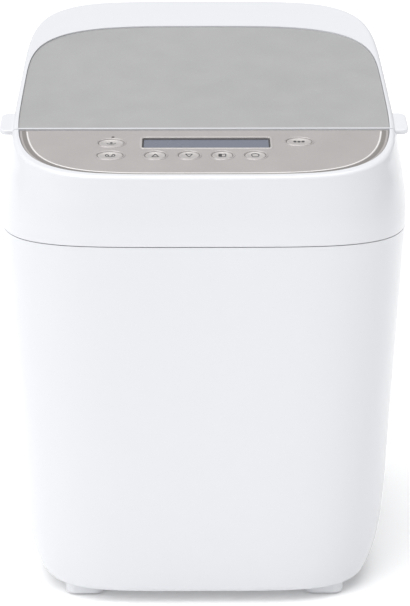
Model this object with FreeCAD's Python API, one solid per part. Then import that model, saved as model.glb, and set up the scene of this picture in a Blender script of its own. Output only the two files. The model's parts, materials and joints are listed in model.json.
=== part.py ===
import FreeCAD, Part
import math
import os

# Bread machine: tapered white housing with a sloping top, hinged lid and lift-out pan.
# Millimetres, +Z up, +X to the right of someone facing the front, front towards -Y.
# The origin is on the table under the middle of the machine.

os.makedirs("parts", exist_ok=True)

V = FreeCAD.Vector

# ---- housing, driving sizes ----
HALF_WIDTH = 130.8        # at the widest level
FRONT_DEPTH = 150.0       # from the plan centre to the front, at the widest level
REAR_DEPTH = 157.0        # from the plan centre to the back, at the widest level
WIDEST_Z = 249.0
BASE_Z = 8.0              # underside of the housing, above the feet
SIDE_TAPER = 0.050        # loss of half width per mm below the widest level
END_TAPER = 0.075         # loss of depth per mm below the widest level
FOOT_CURVE_IN = 13.3      # how far the sides tuck in at the bottom
FOOT_CURVE_HEIGHT = 51.0
FOOT_CURVE_START = 3.0
BOTTOM_EDGE_RADIUS = 4.0
SIDE_LEAN = 9.0           # how far the sides lean in, from the widest level to the top
END_LEAN = 5.7
LEAN_POWER = 1.56
TOP_SLOPE = 13.0          # degrees, rising to the back
TOP_FRONT_Z = 285.7       # top face at its front edge
TOP_EDGE_RADIUS = 2.6
ROUND_LOW = 4.6           # squareness of the plan outline, low down and at the top
ROUND_TOP = 4.76
SEAM_Z = 243.0            # joint between lower body and upper cover
SEAM_GAP = 0.5
WALL = 2.4
FLOOR = 3.0

# ---- lid and control panel, in the frame of the sloping top ----
SPLIT_V = -76.5           # front face of the lid, along the slope
LID_GAP = 0.8
LID_SKIRT = 17.5          # depth of the lid's side wall
DECK_WELL = 6.0           # the deck lies this far under the parting line
DECK = 2.4
LID_TOP_WALL = 2.4
PANEL_HALF_WIDTH = 119.2
PANEL_FRONT = 144.4       # along the slope, from the plan centre
PANEL_REAR = 103.6
PANEL_ROUND_FRONT = 4.6
PANEL_ROUND_REAR = 3.7
PANEL_RECESS = 0.9        # the panels lie this far under the rim
LID_PANEL_THICK = 1.5
LID_FRONT_LIP = 1.3
PANEL_FIT = 0.25
FASCIA_THICK = 2.4
FASCIA_BEVEL = 1.5
LEDGE = 4.0
LEDGE_THICK = 2.0
EAR_LENGTH = 28.0
EAR_TIP = 130.4           # half span across the two lifting ears
EAR_THICK = 3.2
EAR_DROP = 1.6
EAR_RADIUS = 5.0
EAR_ROOT = 117.0
EAR_SETBACK = 0.6

# ---- hinge ----
HINGE_INSET = 8.0         # from the back face of the housing to the hinge axis
BARREL_RADIUS = 5.0
BARREL_HALF = 74.0
SWEEP_HALF = 96.0         # half span of the back wall that the lid's edge swings past
KNUCKLE_HALF = 8.0
KNUCKLE_X = 48.0
KNUCKLE_GAP = 0.5
KNUCKLE_ROOM = 0.8
PIN_RADIUS = 1.75
RUN_FIT = 0.05            # radial clearance of everything that turns on a pin or shaft
HOLD_FIT = 0.02           # radial clearance of what is fixed on a shaft
SWEEP_DROP = 9.6          # the back wall stops this far under the axis
LID_WALL_LIFT = 3.4       # the lid's back wall stops this far over the axis
PIN_OVERHANG = 9.0
WEB_DEPTH = 20.0

# ---- side vents ----
VENT_COUNT = 8
VENT_PITCH = 10.4
VENT_FIRST_V = -94.0
VENT_DROP = 38.0
VENT_WIDTH = 2.8
VENT_HEIGHT = 9.0

# ---- display and buttons ----
WINDOW_HALF_WIDTH = 40.0
WINDOW_HALF_DEPTH = 7.6
WINDOW_U = 1.2
WINDOW_V = -96.2
WINDOW_RADIUS = 1.6
LENS_THICK = 1.2
LENS_EDGE = 2.0
LENS_GAP = 0.2
LENS_FIT = 0.15
LENS_SUNK = 1.0           # the lens fills its window to this far under the panel's face
LCD_THICK = 4.5
LCD_MARGIN = 5.0
TIMER_V = -96.6
START_V = -94.7
LOWER_ROW_V = -115.1
WIDE_HALF_WIDTH = 8.2     # the three buttons at the sides
WIDE_HALF_DEPTH = 5.8
SMALL_HALF_WIDTH = 6.7    # the four buttons in front of the display
SMALL_HALF_DEPTH = 5.8
WIDE = (WIDE_HALF_WIDTH, WIDE_HALF_DEPTH)
SMALL = (SMALL_HALF_WIDTH, SMALL_HALF_DEPTH)
BUTTONS = (
    ("timer_button", -58.2, TIMER_V, WIDE),
    ("menu_button", -58.3, LOWER_ROW_V, WIDE),
    ("up_button", -30.4, LOWER_ROW_V, SMALL),
    ("down_button", -9.6, LOWER_ROW_V, SMALL),
    ("crust_button", 11.0, LOWER_ROW_V, SMALL),
    ("size_button", 31.4, LOWER_ROW_V, SMALL),
    ("start_button", 59.4, START_V, WIDE),
)
BUTTON_GAP = 0.32
BUTTON_RING = 0.6         # section radius of the raised ring round each button
BUTTON_DISH = 0.7
BUTTON_LIP = 0.9          # flat edge round each button's hollow
BUTTON_PROUD = 0.1
BUTTON_FLANGE = 1.2
BUTTON_FLANGE_THICK = 1.0
BUTTON_PLAY = 0.2
BUTTON_STEM_RADIUS = 2.0
BUTTON_TRAVEL = 0.8
SWITCH_SIDE = 6.0
SWITCH_HEIGHT = 3.4
SWITCH_PLUNGER = 1.0
BOARD_W = -14.0           # top face of the control board
BOARD_THICK = 1.6
BOARD_HALF_WIDTH = 78.0
BOARD_FRONT_V = -124.0
BOARD_BACK_V = -82.0

# ---- oven chamber ----
OVEN_Y = 33.0             # centre of chamber, pan and drive shaft
OVEN_HALF_X = 98.0
OVEN_HALF_Y = 88.0
OVEN_RADIUS = 34.0
OVEN_FLOOR_Z = 78.0
SHEET = 1.0
FLANGE = 7.0
FLANGE_FIT = 0.2
TRIM_WIDTH = 6.0
TRIM_THICK = 0.8
TRIM_LIP = 7.0
TRIM_FIT = 0.15

# ---- bread pan ----
PAN_HALF_X = 80.0
PAN_HALF_Y = 64.0
PAN_DRAFT = 5.0
PAN_RADIUS = 26.0
PAN_WALL = 1.6
PAN_FLOOR_Z = 102.0
PAN_FLOOR = 2.0
PAN_HEIGHT = 126.0
RIM_WIDTH = 4.5
RIM_HEIGHT = 3.2
RIM_EDGE = 1.2
PAN_RIB_RADIUS = 3.0
LUG_THICK = 5.5
LUG_HALF = 7.0
LUG_RISE = 11.0
BAIL_RADIUS = 2.5
BAIL_ABOVE_RIM = 4.0
BAIL_HALF_SPAN = 92.5
BAIL_REACH = 64.0
BAIL_BEND = 14.0
BAIL_END_BEND = 3.5
BAIL_END = 83.0
BASE_RING_RADIUS = 43.0
BASE_RING_WALL = 5.0
BASE_RING_GAP = 0.2
SEAT_GAP = 1.8
SEAT_WALL = 5.0
SEAT_HEIGHT = 9.0
SEAT_PLATE = 1.5

# ---- drive ----
SHAFT_RADIUS = 4.0
SHAFT_BOTTOM_Z = 21.0
SLEEVE_RADIUS = 13.0
SLEEVE_BOTTOM_Z = 45.0
BUSH_RADIUS = 7.0
BUSH_LENGTH = 10.0
COUPLING_RADIUS = 16.0
COUPLING_LIFT = 1.2
COUPLING_THICK = 3.5
DOG_HEIGHT = 7.0
DOG_WIDTH = 5.0
DOG_INNER = 7.5
WING_HALF = 13.5
WING_WIDTH = 7.0
WING_HEIGHT = 5.0
WING_GAP = 1.5
PAN_BOSS_RADIUS = 11.0
PAN_BOSS_TOP = 2.0
SEAL_RADIUS = 9.0
SEAL_HEIGHT = 3.0
PAN_SHAFT_RISE = 24.0
PULLEY_RADIUS = 58.0
PULLEY_RIM = 5.0
PULLEY_FLANGE = 2.0
PULLEY_FLANGE_THICK = 1.4
PULLEY_Z = 26.0
PULLEY_HEIGHT = 14.0
PULLEY_HUB = 10.0
PULLEY_WEB = 3.0
PULLEY_HOLES = 6
PULLEY_HOLE_RADIUS = 11.0
MOTOR_PULLEY_RADIUS = 11.0
BELT_GAP = 0.3
BELT_THICK = 1.8
BELT_SIDE_GAP = 0.6
MOTOR_X = 52.0
MOTOR_Y = -98.0
MOTOR_HALF = 29.0
MOTOR_HEIGHT = 52.0
MOTOR_STACK = 26.0
MOTOR_CAP_RADIUS = 24.0
MOTOR_SHAFT_RADIUS = 3.0
MOTOR_MOUNT_HEIGHT = 4.0
MOTOR_MOUNT_RADIUS = 5.0

# ---- blade ----
BLADE_HUB_RADIUS = 8.0
BLADE_HEIGHT = 20.0
BLADE_LENGTH = 50.0
BLADE_THICK = 5.0
BLADE_TIP_HEIGHT = 13.0
BLADE_FLOOR_GAP = 1.0

# ---- heater ----
HEATER_Z = 126.0
HEATER_RADIUS = 3.2
HEATER_HALF_X = 90.2
HEATER_HALF_Y = 78.4
HEATER_CORNER = 26.0
HEATER_GAP_HALF = 18.0
HEATER_TAIL_BEND = 8.0
HEATER_TAIL = 12.0
INSULATOR_RADIUS = 6.0
CLIP_WIDTH = 8.0
CLIP_THICK = 1.0

# ---- base, chassis and feet ----
BASE_OPENING_HALF_X = 72.0
BASE_OPENING_FRONT = 96.0
BASE_OPENING_REAR = 96.0
BASE_OPENING_RADIUS = 16.0
BASE_PLATE_EDGE = 7.0
BASE_PLATE_THICK = 2.5
FOOT_X = 78.0
FOOT_FRONT_Y = -111.0
FOOT_REAR_Y = 108.0
FOOT_HALF_X = 13.0
FOOT_HALF_Y = 11.0
FOOT_RADIUS = 7.0
FOOT_EDGE = 1.6
PAD_THICK = 1.2
PAD_INSET = 4.0
CHASSIS_Z = 56.0
CHASSIS_THICK = 2.0
CHASSIS_HALF_X = 98.0
CHASSIS_FRONT_Y = -128.0
CHASSIS_REAR_Y = 116.0
CHASSIS_CORNER = 28.0
LEG_X = 84.0
LEG_FRONT_Y = -96.0
LEG_REAR_Y = 96.0
LEG_HALF = 8.0
SPACER_X = 74.0
SPACER_Y = 58.0
SPACER_RADIUS = 6.0
BOARD_STAND_Y = -108.0
POWER_BOARD_X = -56.0
POWER_BOARD_HALF = 38.0
POWER_BOARD_HEIGHT = 76.0
GLAND_X = 70.0
GLAND_Z = 34.0
GLAND_RADIUS = 8.0
GLAND_BORE = 3.6
GLAND_SEAT = 0.8          # depth of the flat the gland's collar sits on
SCREW_RADIUS = 1.7
SCREW_HEAD_RADIUS = 3.2
SCREW_HEAD = 1.8
SCREW_LENGTH = 8.0

# ---- worked out from the values above ----
PLAN_Y = (FRONT_DEPTH - REAR_DEPTH) / 2.0
SLOPE = math.radians(TOP_SLOPE)
TOP_CENTRE_Z = TOP_FRONT_Z + (FRONT_DEPTH - END_LEAN) * math.tan(SLOPE)
DECK_TOP_W = -LID_SKIRT - DECK_WELL
DECK_UNDER_W = DECK_TOP_W - DECK
FLOOR_TOP_Z = BASE_Z + FLOOR
FASCIA_TOP_W = -PANEL_RECESS
FASCIA_UNDER_W = FASCIA_TOP_W - FASCIA_THICK
FASCIA_BACK_V = SPLIT_V - LID_GAP
BIG = 400.0
PAN_TOP_Z = PAN_FLOOR_Z + PAN_FLOOR + PAN_HEIGHT
SEAT_TOP_Z = OVEN_FLOOR_Z + SHEET + SEAT_PLATE
COUPLING_Z = SEAT_TOP_Z + COUPLING_LIFT
WING_Z = COUPLING_Z + COUPLING_THICK + WING_GAP


# ---------------------------------------------------------------- helpers

def box(x0, x1, y0, y1, z0, z1):
    return Part.makeBox(x1 - x0, y1 - y0, z1 - z0, V(x0, y0, z0))


def rod(radius, z0, z1, x=0.0, y=0.0):
    return Part.makeCylinder(radius, z1 - z0, V(x, y, z0))


def oval_wire(half_x, half_y, z, x, y):
    return Part.Wire([Part.Ellipse(V(x, y, z), half_x, half_y).toShape()])


def oval(half_x, half_y, z0, z1, x, y):
    """An upright prism with an elliptical outline."""
    face = Part.Face(oval_wire(half_x, half_y, z0, x, y))
    return face.extrude(V(0.0, 0.0, z1 - z0))


def oval_ring(half_x, half_y, section, z, x, y):
    """A round bar bent into an ellipse."""
    path = oval_wire(half_x, half_y, z, x, y)
    circle = Part.Circle(V(x + half_x, y, z), V(0, 1, 0), section)
    return path.makePipeShell([Part.Wire([circle.toShape()])], True, True)


def ring(outer, inner, z0, z1, x=0.0, y=0.0):
    return rod(outer, z0, z1, x, y).cut(rod(inner, z0 - 1.0, z1 + 1.0, x, y))


def rod_along(radius, start, direction, length):
    return Part.makeCylinder(radius, length, V(*start), V(*direction))


def rounded_wire(half_x, half_y, radius, cx, cy, z):
    """A rectangle with round corners, as one closed wire at height z."""
    edges = []
    corners = ((1, 1, 0.0), (-1, 1, 90.0), (-1, -1, 180.0), (1, -1, 270.0))
    ends = []
    for sx, sy, start in corners:
        centre = V(cx + sx * (half_x - radius), cy + sy * (half_y - radius), z)
        circle = Part.Circle(centre, V(0, 0, 1), radius)
        arc = circle.trim(math.radians(start), math.radians(start + 90.0))
        edges.append(arc.toShape())
        ends.append((arc.StartPoint, arc.EndPoint))
    for index in range(4):
        a = ends[index][1]
        b = ends[(index + 1) % 4][0]
        if a.distanceToPoint(b) > 1e-6:
            edges.append(Part.makeLine(a, b))
    return Part.Wire(Part.__sortEdges__(edges))


def rounded_block(half_x, half_y, radius, z0, z1, cx=0.0, cy=0.0):
    wire = rounded_wire(half_x, half_y, radius, cx, cy, z0)
    return Part.Face(wire).extrude(V(0, 0, z1 - z0))


def fuse_all(shapes):
    first = shapes[0]
    return first.fuse(shapes[1:]).removeSplitter() if len(shapes) > 1 else first


def on_top(shape):
    """Carry a shape drawn in the sloping top's own frame into the machine's frame."""
    moved = shape.copy()
    moved.rotate(V(0, 0, 0), V(1, 0, 0), TOP_SLOPE)
    moved.translate(V(0, PLAN_Y, TOP_CENTRE_Z))
    return moved


def slab(v0, v1, w0, w1, half_u=BIG):
    return on_top(box(-half_u, half_u, v0, v1, w0, w1))


def top_height(y):
    return TOP_CENTRE_Z + (y - PLAN_Y) * math.tan(SLOPE)


def smooth_loop(points):
    curve = Part.BSplineCurve()
    curve.interpolate(points, True)
    return Part.Wire(curve.toShape())


def plan_points(half_width, front, rear, round_front, round_rear, height, cy, steps=40):
    """Points of the squarish oval plan outline; height is a function of y."""
    points = []
    for step in range(steps):
        angle = 2.0 * math.pi * (step + 0.5) / steps
        c = math.cos(angle)
        s = math.sin(angle)
        depth = front if s < 0 else rear
        power = round_front if s < 0 else round_rear
        reach = (abs(c / half_width) ** power + abs(s / depth) ** power) ** (-1.0 / power)
        y = cy + reach * s
        points.append(V(reach * c, y, height(y)))
    return points


def panel_prism(inset, w0, w1, v0=-BIG, v1=BIG):
    """Upright block on the top's frame with the outline shared by both top panels."""
    points = plan_points(PANEL_HALF_WIDTH - inset, PANEL_FRONT - inset, PANEL_REAR - inset,
                         PANEL_ROUND_FRONT, PANEL_ROUND_REAR, lambda y: w0, 0.0)
    block = Part.Face(smooth_loop(points)).extrude(V(0, 0, w1 - w0))
    return on_top(block.common(box(-BIG, BIG, v0, v1, w0 - 1.0, w1 + 1.0)))


def pipe(points, bends, radius):
    """Round bar along straight runs joined by tangent arcs."""
    nodes = [V(*p) for p in points]
    edges = []
    last = nodes[0]
    for index in range(1, len(nodes) - 1):
        here = nodes[index]
        into = (here - nodes[index - 1]).normalize()
        out = (nodes[index + 1] - here).normalize()
        turn = into.getAngle(out)
        cut = bends[index - 1] * math.tan(turn / 2.0)
        start = here - into * cut
        end = here + out * cut
        middle_dir = (out - into).normalize()
        to_centre = bends[index - 1] / math.cos(turn / 2.0)
        middle = here + middle_dir * (to_centre - bends[index - 1])
        edges.append(Part.makeLine(last, start))
        edges.append(Part.Arc(start, middle, end).toShape())
        last = end
    edges.append(Part.makeLine(last, nodes[-1]))
    path = Part.Wire(edges)
    first = (nodes[1] - nodes[0]).normalize()
    profile = Part.Wire(Part.Circle(nodes[0], first, radius).toShape())
    return path.makePipeShell([profile], True, False)


def rounded_edges(shape, radius, keep):
    edges = [edge for edge in shape.Edges if keep(edge)]
    return shape.makeFillet(radius, edges)


def screw(x, y, z, up=True):
    """Pan head screw with its head at z and its shank going up (or down)."""
    sign = 1.0 if up else -1.0
    head = rod_along(SCREW_HEAD_RADIUS, (x, y, z), (0, 0, sign), SCREW_HEAD)
    shank = rod_along(SCREW_RADIUS, (x, y, z), (0, 0, sign), SCREW_HEAD + SCREW_LENGTH)
    return head.fuse(shank)


NODES = {}


def keep(name, shape):
    NODES[name] = shape


# ---------------------------------------------------------------- housing

def housing_rings(inset, floor_z):
    """Plan outlines of the housing, from the bottom to the sloping top."""
    wires = []
    levels = [floor_z]
    for angle in (30.0, 42.0, 56.0, 72.0, 90.0):
        level = BASE_Z - FOOT_CURVE_START + FOOT_CURVE_HEIGHT * (1.0 - math.cos(math.radians(angle)))
        if level > floor_z + 2.0:
            levels.append(level)
    low_top = levels[-1]
    for share in (0.25, 0.5, 0.75, 0.92):
        levels.append(low_top + (WIDEST_Z - low_top) * share)
    for level in levels:
        below = WIDEST_Z - level
        rise = (FOOT_CURVE_HEIGHT - (level - BASE_Z + FOOT_CURVE_START)) / FOOT_CURVE_HEIGHT
        rise = min(max(rise, 0.0), 1.0)
        tuck = FOOT_CURVE_IN * (1.0 - math.sqrt(1.0 - rise * rise))
        points = plan_points(HALF_WIDTH - SIDE_TAPER * below - tuck - inset,
                             FRONT_DEPTH - END_TAPER * below - inset,
                             REAR_DEPTH - END_TAPER * below - inset,
                             ROUND_LOW, ROUND_LOW, lambda y, z=level: z, PLAN_Y)
        wires.append(smooth_loop(points))
    for share in (0.04, 0.2, 0.4, 0.6, 0.8, 1.0):
        lean = share ** LEAN_POWER
        squareness = ROUND_LOW + (ROUND_TOP - ROUND_LOW) * share
        points = plan_points(HALF_WIDTH - SIDE_LEAN * lean - inset,
                             FRONT_DEPTH - END_LEAN * lean - inset,
                             REAR_DEPTH - END_LEAN * lean - inset, squareness, squareness,
                             lambda y, k=share: WIDEST_Z * (1.0 - k) + top_height(y) * k, PLAN_Y)
        wires.append(smooth_loop(points))
    return wires


def housing_solid(inset, floor_z):
    return Part.makeLoft(housing_rings(inset, floor_z), True, False)


def is_bottom_edge(edge):
    return edge.BoundBox.ZMax < BASE_Z + 0.01


def is_top_edge(edge):
    first, last = edge.ParameterRange
    for share in (0.0, 0.3, 0.7):
        point = edge.valueAt(first + (last - first) * share)
        if abs(point.z - top_height(point.y)) > 0.05:
            return False
    return True


def back_face_v():
    """Distance along the slope from the plan centre to the back face, at the parting line."""
    back_z = top_height(PLAN_Y + REAR_DEPTH - END_LEAN) - LID_SKIRT
    share = (back_z - WIDEST_Z) / (back_z + LID_SKIRT - WIDEST_Z)
    depth = REAR_DEPTH - END_LEAN * share ** LEAN_POWER
    rise = back_z - TOP_CENTRE_Z
    return depth * math.cos(SLOPE) + rise * math.sin(SLOPE)


OUTER = housing_solid(0.0, BASE_Z)
OUTER = rounded_edges(OUTER, TOP_EDGE_RADIUS, is_top_edge)
OUTER = rounded_edges(OUTER, BOTTOM_EDGE_RADIUS, is_bottom_edge)
INNER = housing_solid(WALL, FLOOR_TOP_Z)
HINGE_V = back_face_v() - HINGE_INSET
HINGE_W = -LID_SKIRT
LID_ZONE = slab(SPLIT_V, BIG, -LID_SKIRT, BIG)


def hinge_rod(radius, x0, x1):
    return on_top(rod_along(radius, (x0, HINGE_V, HINGE_W), (1, 0, 0), x1 - x0))


def hinge_box(x0, x1, dv0, dv1, dw0, dw1):
    return on_top(box(x0, x1, HINGE_V + dv0, HINGE_V + dv1, HINGE_W + dw0, HINGE_W + dw1))


def oven_prism(grow, z0, z1):
    return rounded_block(OVEN_HALF_X + grow, OVEN_HALF_Y + grow, OVEN_RADIUS + grow, z0, z1,
                         0.0, OVEN_Y)


def base_outline(grow, z0, z1):
    half_y = (BASE_OPENING_FRONT + BASE_OPENING_REAR) / 2.0 + grow
    centre = (BASE_OPENING_REAR - BASE_OPENING_FRONT) / 2.0
    return rounded_block(BASE_OPENING_HALF_X + grow, half_y, BASE_OPENING_RADIUS + grow, z0, z1,
                         0.0, centre)


def base_screw_places():
    return [(sx * (BASE_OPENING_HALF_X + BASE_PLATE_EDGE / 2.0), y)
            for sx in (-1, 1) for y in (-BASE_OPENING_FRONT * 0.6, 0.0, BASE_OPENING_REAR * 0.6)]


def leg_places():
    return [(sx * LEG_X, y) for sx in (-1, 1) for y in (LEG_FRONT_Y, LEG_REAR_Y)]


def foot_places():
    return (("front_left", -FOOT_X, FOOT_FRONT_Y), ("front_right", FOOT_X, FOOT_FRONT_Y),
            ("rear_left", -FOOT_X, FOOT_REAR_Y), ("rear_right", FOOT_X, FOOT_REAR_Y))


def gland_y():
    """Back face of the lower body at the height of the cord gland."""
    below = WIDEST_Z - GLAND_Z
    depth = REAR_DEPTH - END_TAPER * below
    rise = min(max((FOOT_CURVE_HEIGHT - (GLAND_Z - BASE_Z + FOOT_CURVE_START)) / FOOT_CURVE_HEIGHT,
                   0.0), 1.0)
    width = HALF_WIDTH - SIDE_TAPER * below - FOOT_CURVE_IN * (1.0 - math.sqrt(1.0 - rise * rise))
    return PLAN_Y + depth * (1.0 - (GLAND_X / width) ** ROUND_LOW) ** (1.0 / ROUND_LOW)


def make_lower_body():
    shell = OUTER.common(box(-BIG, BIG, -BIG, BIG, 0.0, SEAM_Z)).cut(INNER)
    shell = shell.cut(base_outline(0.0, 0.0, FLOOR_TOP_Z + 1.0))
    for x, y in base_screw_places():
        shell = shell.cut(rod(SCREW_RADIUS + 0.1, 0.0, FLOOR_TOP_Z + 1.0, x, y))
    for _, x, y in foot_places():
        shell = shell.cut(rod(SCREW_RADIUS + 0.1, 0.0, FLOOR_TOP_Z + 1.0, x, y))
    hole = rod_along(GLAND_RADIUS - 2.0 + HOLD_FIT, (GLAND_X, gland_y() - 20.0, GLAND_Z),
                     (0, 1, 0), 40.0)
    seat = rod_along(GLAND_RADIUS + 0.4, (GLAND_X, gland_y() - GLAND_SEAT, GLAND_Z), (0, 1, 0), 20.0)
    keep("lower_body", shell.cut([hole, seat]))


def vent_slots():
    slots = []
    for index in range(VENT_COUNT):
        v = VENT_FIRST_V + index * VENT_PITCH
        bar = box(-BIG, BIG, v - VENT_WIDTH / 2.0, v + VENT_WIDTH / 2.0,
                  -VENT_DROP - VENT_HEIGHT / 2.0, -VENT_DROP + VENT_HEIGHT / 2.0)
        slots.append(on_top(bar))
    return slots


def make_upper_cover():
    cover = OUTER.common(box(-BIG, BIG, -BIG, BIG, SEAM_Z + SEAM_GAP, BIG))
    cover = cover.cut(slab(SPLIT_V - LID_GAP, BIG, -LID_SKIRT - LID_GAP, BIG))
    below_deck = INNER.common(slab(-BIG, BIG, -BIG, DECK_UNDER_W))
    bay_back = SPLIT_V - LID_GAP - WALL
    bay = INNER.common(slab(-BIG, bay_back, -BIG, FASCIA_UNDER_W - LEDGE_THICK))
    bay_mouth = panel_prism(LEDGE, -60.0, 10.0, v1=bay_back)
    recess = panel_prism(0.0, FASCIA_UNDER_W, 10.0, v1=FASCIA_BACK_V + 1.0)
    inner_deck = housing_solid(WALL + 0.6, FLOOR_TOP_Z)
    well = inner_deck.common(slab(SPLIT_V - LID_GAP, HINGE_V - BARREL_RADIUS - 4.0, DECK_TOP_W,
                                  BIG))
    cover = cover.cut([below_deck, bay, bay_mouth, recess, well])
    cover = cover.cut(oven_prism(TRIM_FIT, SEAM_Z - 10.0, BIG))
    skirt_outer = housing_solid(WALL + 0.2, FLOOR_TOP_Z)
    skirt_inner = housing_solid(WALL + 1.8, FLOOR_TOP_Z)
    tongue = skirt_outer.cut(skirt_inner).common(box(-BIG, BIG, -BIG, BIG, SEAM_Z - 6.0,
                                                     SEAM_Z + 6.0))
    cover = cover.fuse(tongue)
    cover = cover.cut([slot for slot in vent_slots()])
    # room for the lid's back wall as it swings down behind the axis
    cover = cover.cut(hinge_box(-SWEEP_HALF, SWEEP_HALF, -2.0, 40.0, -SWEEP_DROP, 40.0))
    # long barrel on a web that rises from the back wall
    web = fuse_all([
        hinge_rod(BARREL_RADIUS, -BARREL_HALF, BARREL_HALF),
        hinge_box(-BARREL_HALF, BARREL_HALF, -BARREL_RADIUS, 2.0, -WEB_DEPTH, 0.0),
        hinge_box(-BARREL_HALF, BARREL_HALF, -BARREL_RADIUS, HINGE_INSET - WALL - 0.6,
                  -WEB_DEPTH, -SWEEP_DROP)])
    room = []
    for sx in (-1, 1):
        x0 = sx * KNUCKLE_X - KNUCKLE_HALF - KNUCKLE_GAP
        x1 = sx * KNUCKLE_X + KNUCKLE_HALF + KNUCKLE_GAP
        reach = BARREL_RADIUS + KNUCKLE_ROOM
        room.append(hinge_rod(reach, x0, x1))
        room.append(hinge_box(x0, x1, -reach, HINGE_INSET + 1.0, -reach, HINGE_INSET + 1.0))
        room.append(hinge_rod(PIN_RADIUS + HOLD_FIT, x0 - PIN_OVERHANG - 1.0,
                              x1 + PIN_OVERHANG + 1.0))
    cover = cover.fuse(web).cut(room)
    keep("upper_cover", biggest(cover))


def biggest(shape):
    return max(shape.Solids, key=lambda solid: solid.Volume)


def make_lid_shell():
    shell = OUTER.common(LID_ZONE)
    hollow_top = -(PANEL_RECESS + LID_PANEL_THICK + LID_TOP_WALL)
    hollow = INNER.common(slab(SPLIT_V + WALL, BIG, -BIG, hollow_top))
    recess = panel_prism(0.0, -PANEL_RECESS - LID_PANEL_THICK, 10.0, v0=SPLIT_V + LID_FRONT_LIP)
    shell = shell.cut([hollow, recess])
    for sx in (-1, 1):
        ear = ear_shape(sx).cut(recess)
        shell = shell.fuse(ear)
    shell = shell.cut(hinge_box(-BARREL_HALF - 1.0, BARREL_HALF + 1.0, 0.0, 40.0, -1.0,
                                LID_WALL_LIFT))
    shell = shell.cut(hinge_rod(BARREL_RADIUS + 0.7, -BARREL_HALF - 1.0, BARREL_HALF + 1.0))
    for sx in (-1, 1):
        x0 = sx * KNUCKLE_X - KNUCKLE_HALF
        x1 = sx * KNUCKLE_X + KNUCKLE_HALF
        arm = hinge_box(x0, x1, -4.4, 4.4, 0.0, LID_SKIRT + hollow_top + 0.5)
        knuckle = hinge_rod(BARREL_RADIUS, x0, x1).fuse(arm)
        knuckle = knuckle.cut(hinge_rod(PIN_RADIUS + RUN_FIT, x0 - 1.0, x1 + 1.0))
        shell = shell.fuse(knuckle)
    keep("lid_shell", biggest(shell))


def ear_shape(side):
    """Flat tab at the lid's front corner, with round outer corners."""
    v0 = SPLIT_V + EAR_SETBACK
    v1 = v0 + EAR_LENGTH
    outline = rounded_block((EAR_TIP - EAR_ROOT + EAR_RADIUS) / 2.0, EAR_LENGTH / 2.0, EAR_RADIUS,
                            -EAR_DROP - EAR_THICK, -EAR_DROP,
                            side * (EAR_TIP + EAR_ROOT - EAR_RADIUS) / 2.0, (v0 + v1) / 2.0)
    outline = outline.cut(box(*sorted((side * EAR_ROOT, 0.0)), v0 - 1.0, v1 + 1.0,
                              -EAR_DROP - EAR_THICK - 1.0, 0.0))
    outline = outline.makeFillet(1.0, [edge for edge in outline.Edges
                                       if edge.BoundBox.ZLength < 0.01
                                       and abs(edge.BoundBox.Center.x) > EAR_ROOT + 0.5])
    return on_top(outline)


def make_hinge_pins():
    pins = []
    for sx in (-1, 1):
        half = KNUCKLE_HALF + KNUCKLE_GAP + PIN_OVERHANG
        pins.append(hinge_rod(PIN_RADIUS, sx * KNUCKLE_X - half, sx * KNUCKLE_X + half))
    keep("hinge_pins", Part.makeCompound(pins))


def make_lid_inside():
    panel = panel_prism(PANEL_FIT, -PANEL_RECESS - LID_PANEL_THICK, -PANEL_RECESS,
                        v0=SPLIT_V + LID_FRONT_LIP + PANEL_FIT)
    keep("lid_panel", panel)
    liner_edge = housing_solid(WALL + 0.4, FLOOR_TOP_Z)
    liner = liner_edge.common(slab(SPLIT_V + WALL + 0.4, HINGE_V - BARREL_RADIUS - 2.4,
                                   -LID_SKIRT, -LID_SKIRT + 2.2))
    bowl = oven_prism(-16.0, SEAM_Z, BIG)
    liner = liner.cut(bowl)
    for x, v in lid_screw_places():
        liner = liner.cut(on_top(rod(SCREW_RADIUS + 0.1, -LID_SKIRT - 1.0, -LID_SKIRT + 4.0, x, v)))
    keep("lid_liner", liner)
    cover_low = -LID_SKIRT - 3.4
    pan_side = oven_prism(-7.0, SEAM_Z, BIG).common(slab(-BIG, BIG, cover_low, -LID_SKIRT - 0.1))
    pan_hollow = oven_prism(-8.2, SEAM_Z, BIG).common(slab(-BIG, BIG, cover_low + 1.2, BIG))
    raised = oven_prism(-22.0, SEAM_Z, BIG).common(slab(-BIG, BIG, cover_low + 1.0,
                                                         -LID_SKIRT + 5.0))
    raised_hollow = oven_prism(-23.2, SEAM_Z, BIG).common(slab(-BIG, BIG, cover_low - 1.0,
                                                                -LID_SKIRT + 3.8))
    keep("lid_inner_cover", pan_side.cut(pan_hollow).fuse(raised).cut(raised_hollow))
    seal_outer = oven_prism(3.0, SEAM_Z, BIG)
    seal_inner = oven_prism(-1.0, SEAM_Z, BIG)
    bulb = seal_outer.cut(seal_inner).common(slab(-BIG, BIG, DECK_TOP_W + TRIM_THICK + 0.3,
                                                  -LID_SKIRT - 0.05))
    lip = oven_prism(-1.0, SEAM_Z, BIG).cut(oven_prism(-6.8, SEAM_Z, BIG))
    lip = lip.common(slab(-BIG, BIG, -LID_SKIRT - 1.6, -LID_SKIRT - 0.05))
    keep("lid_seal", bulb.fuse(lip).removeSplitter())
    heads = []
    for x, v in lid_screw_places():
        head = rod(SCREW_HEAD_RADIUS, -LID_SKIRT - SCREW_HEAD, -LID_SKIRT - 0.02, x, v)
        shank = rod(SCREW_RADIUS, -LID_SKIRT - 0.5, -LID_SKIRT + 7.0, x, v)
        heads.append(on_top(head.fuse(shank)))
    keep("lid_screws", Part.makeCompound(heads))


def lid_screw_places():
    front_v = SPLIT_V + 10.0
    back_v = HINGE_V - BARREL_RADIUS - 14.0
    return [(-108.0, front_v + 12.0), (108.0, front_v + 12.0), (-84.0, back_v), (84.0, back_v)]


# ---------------------------------------------------------------- control panel

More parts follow.
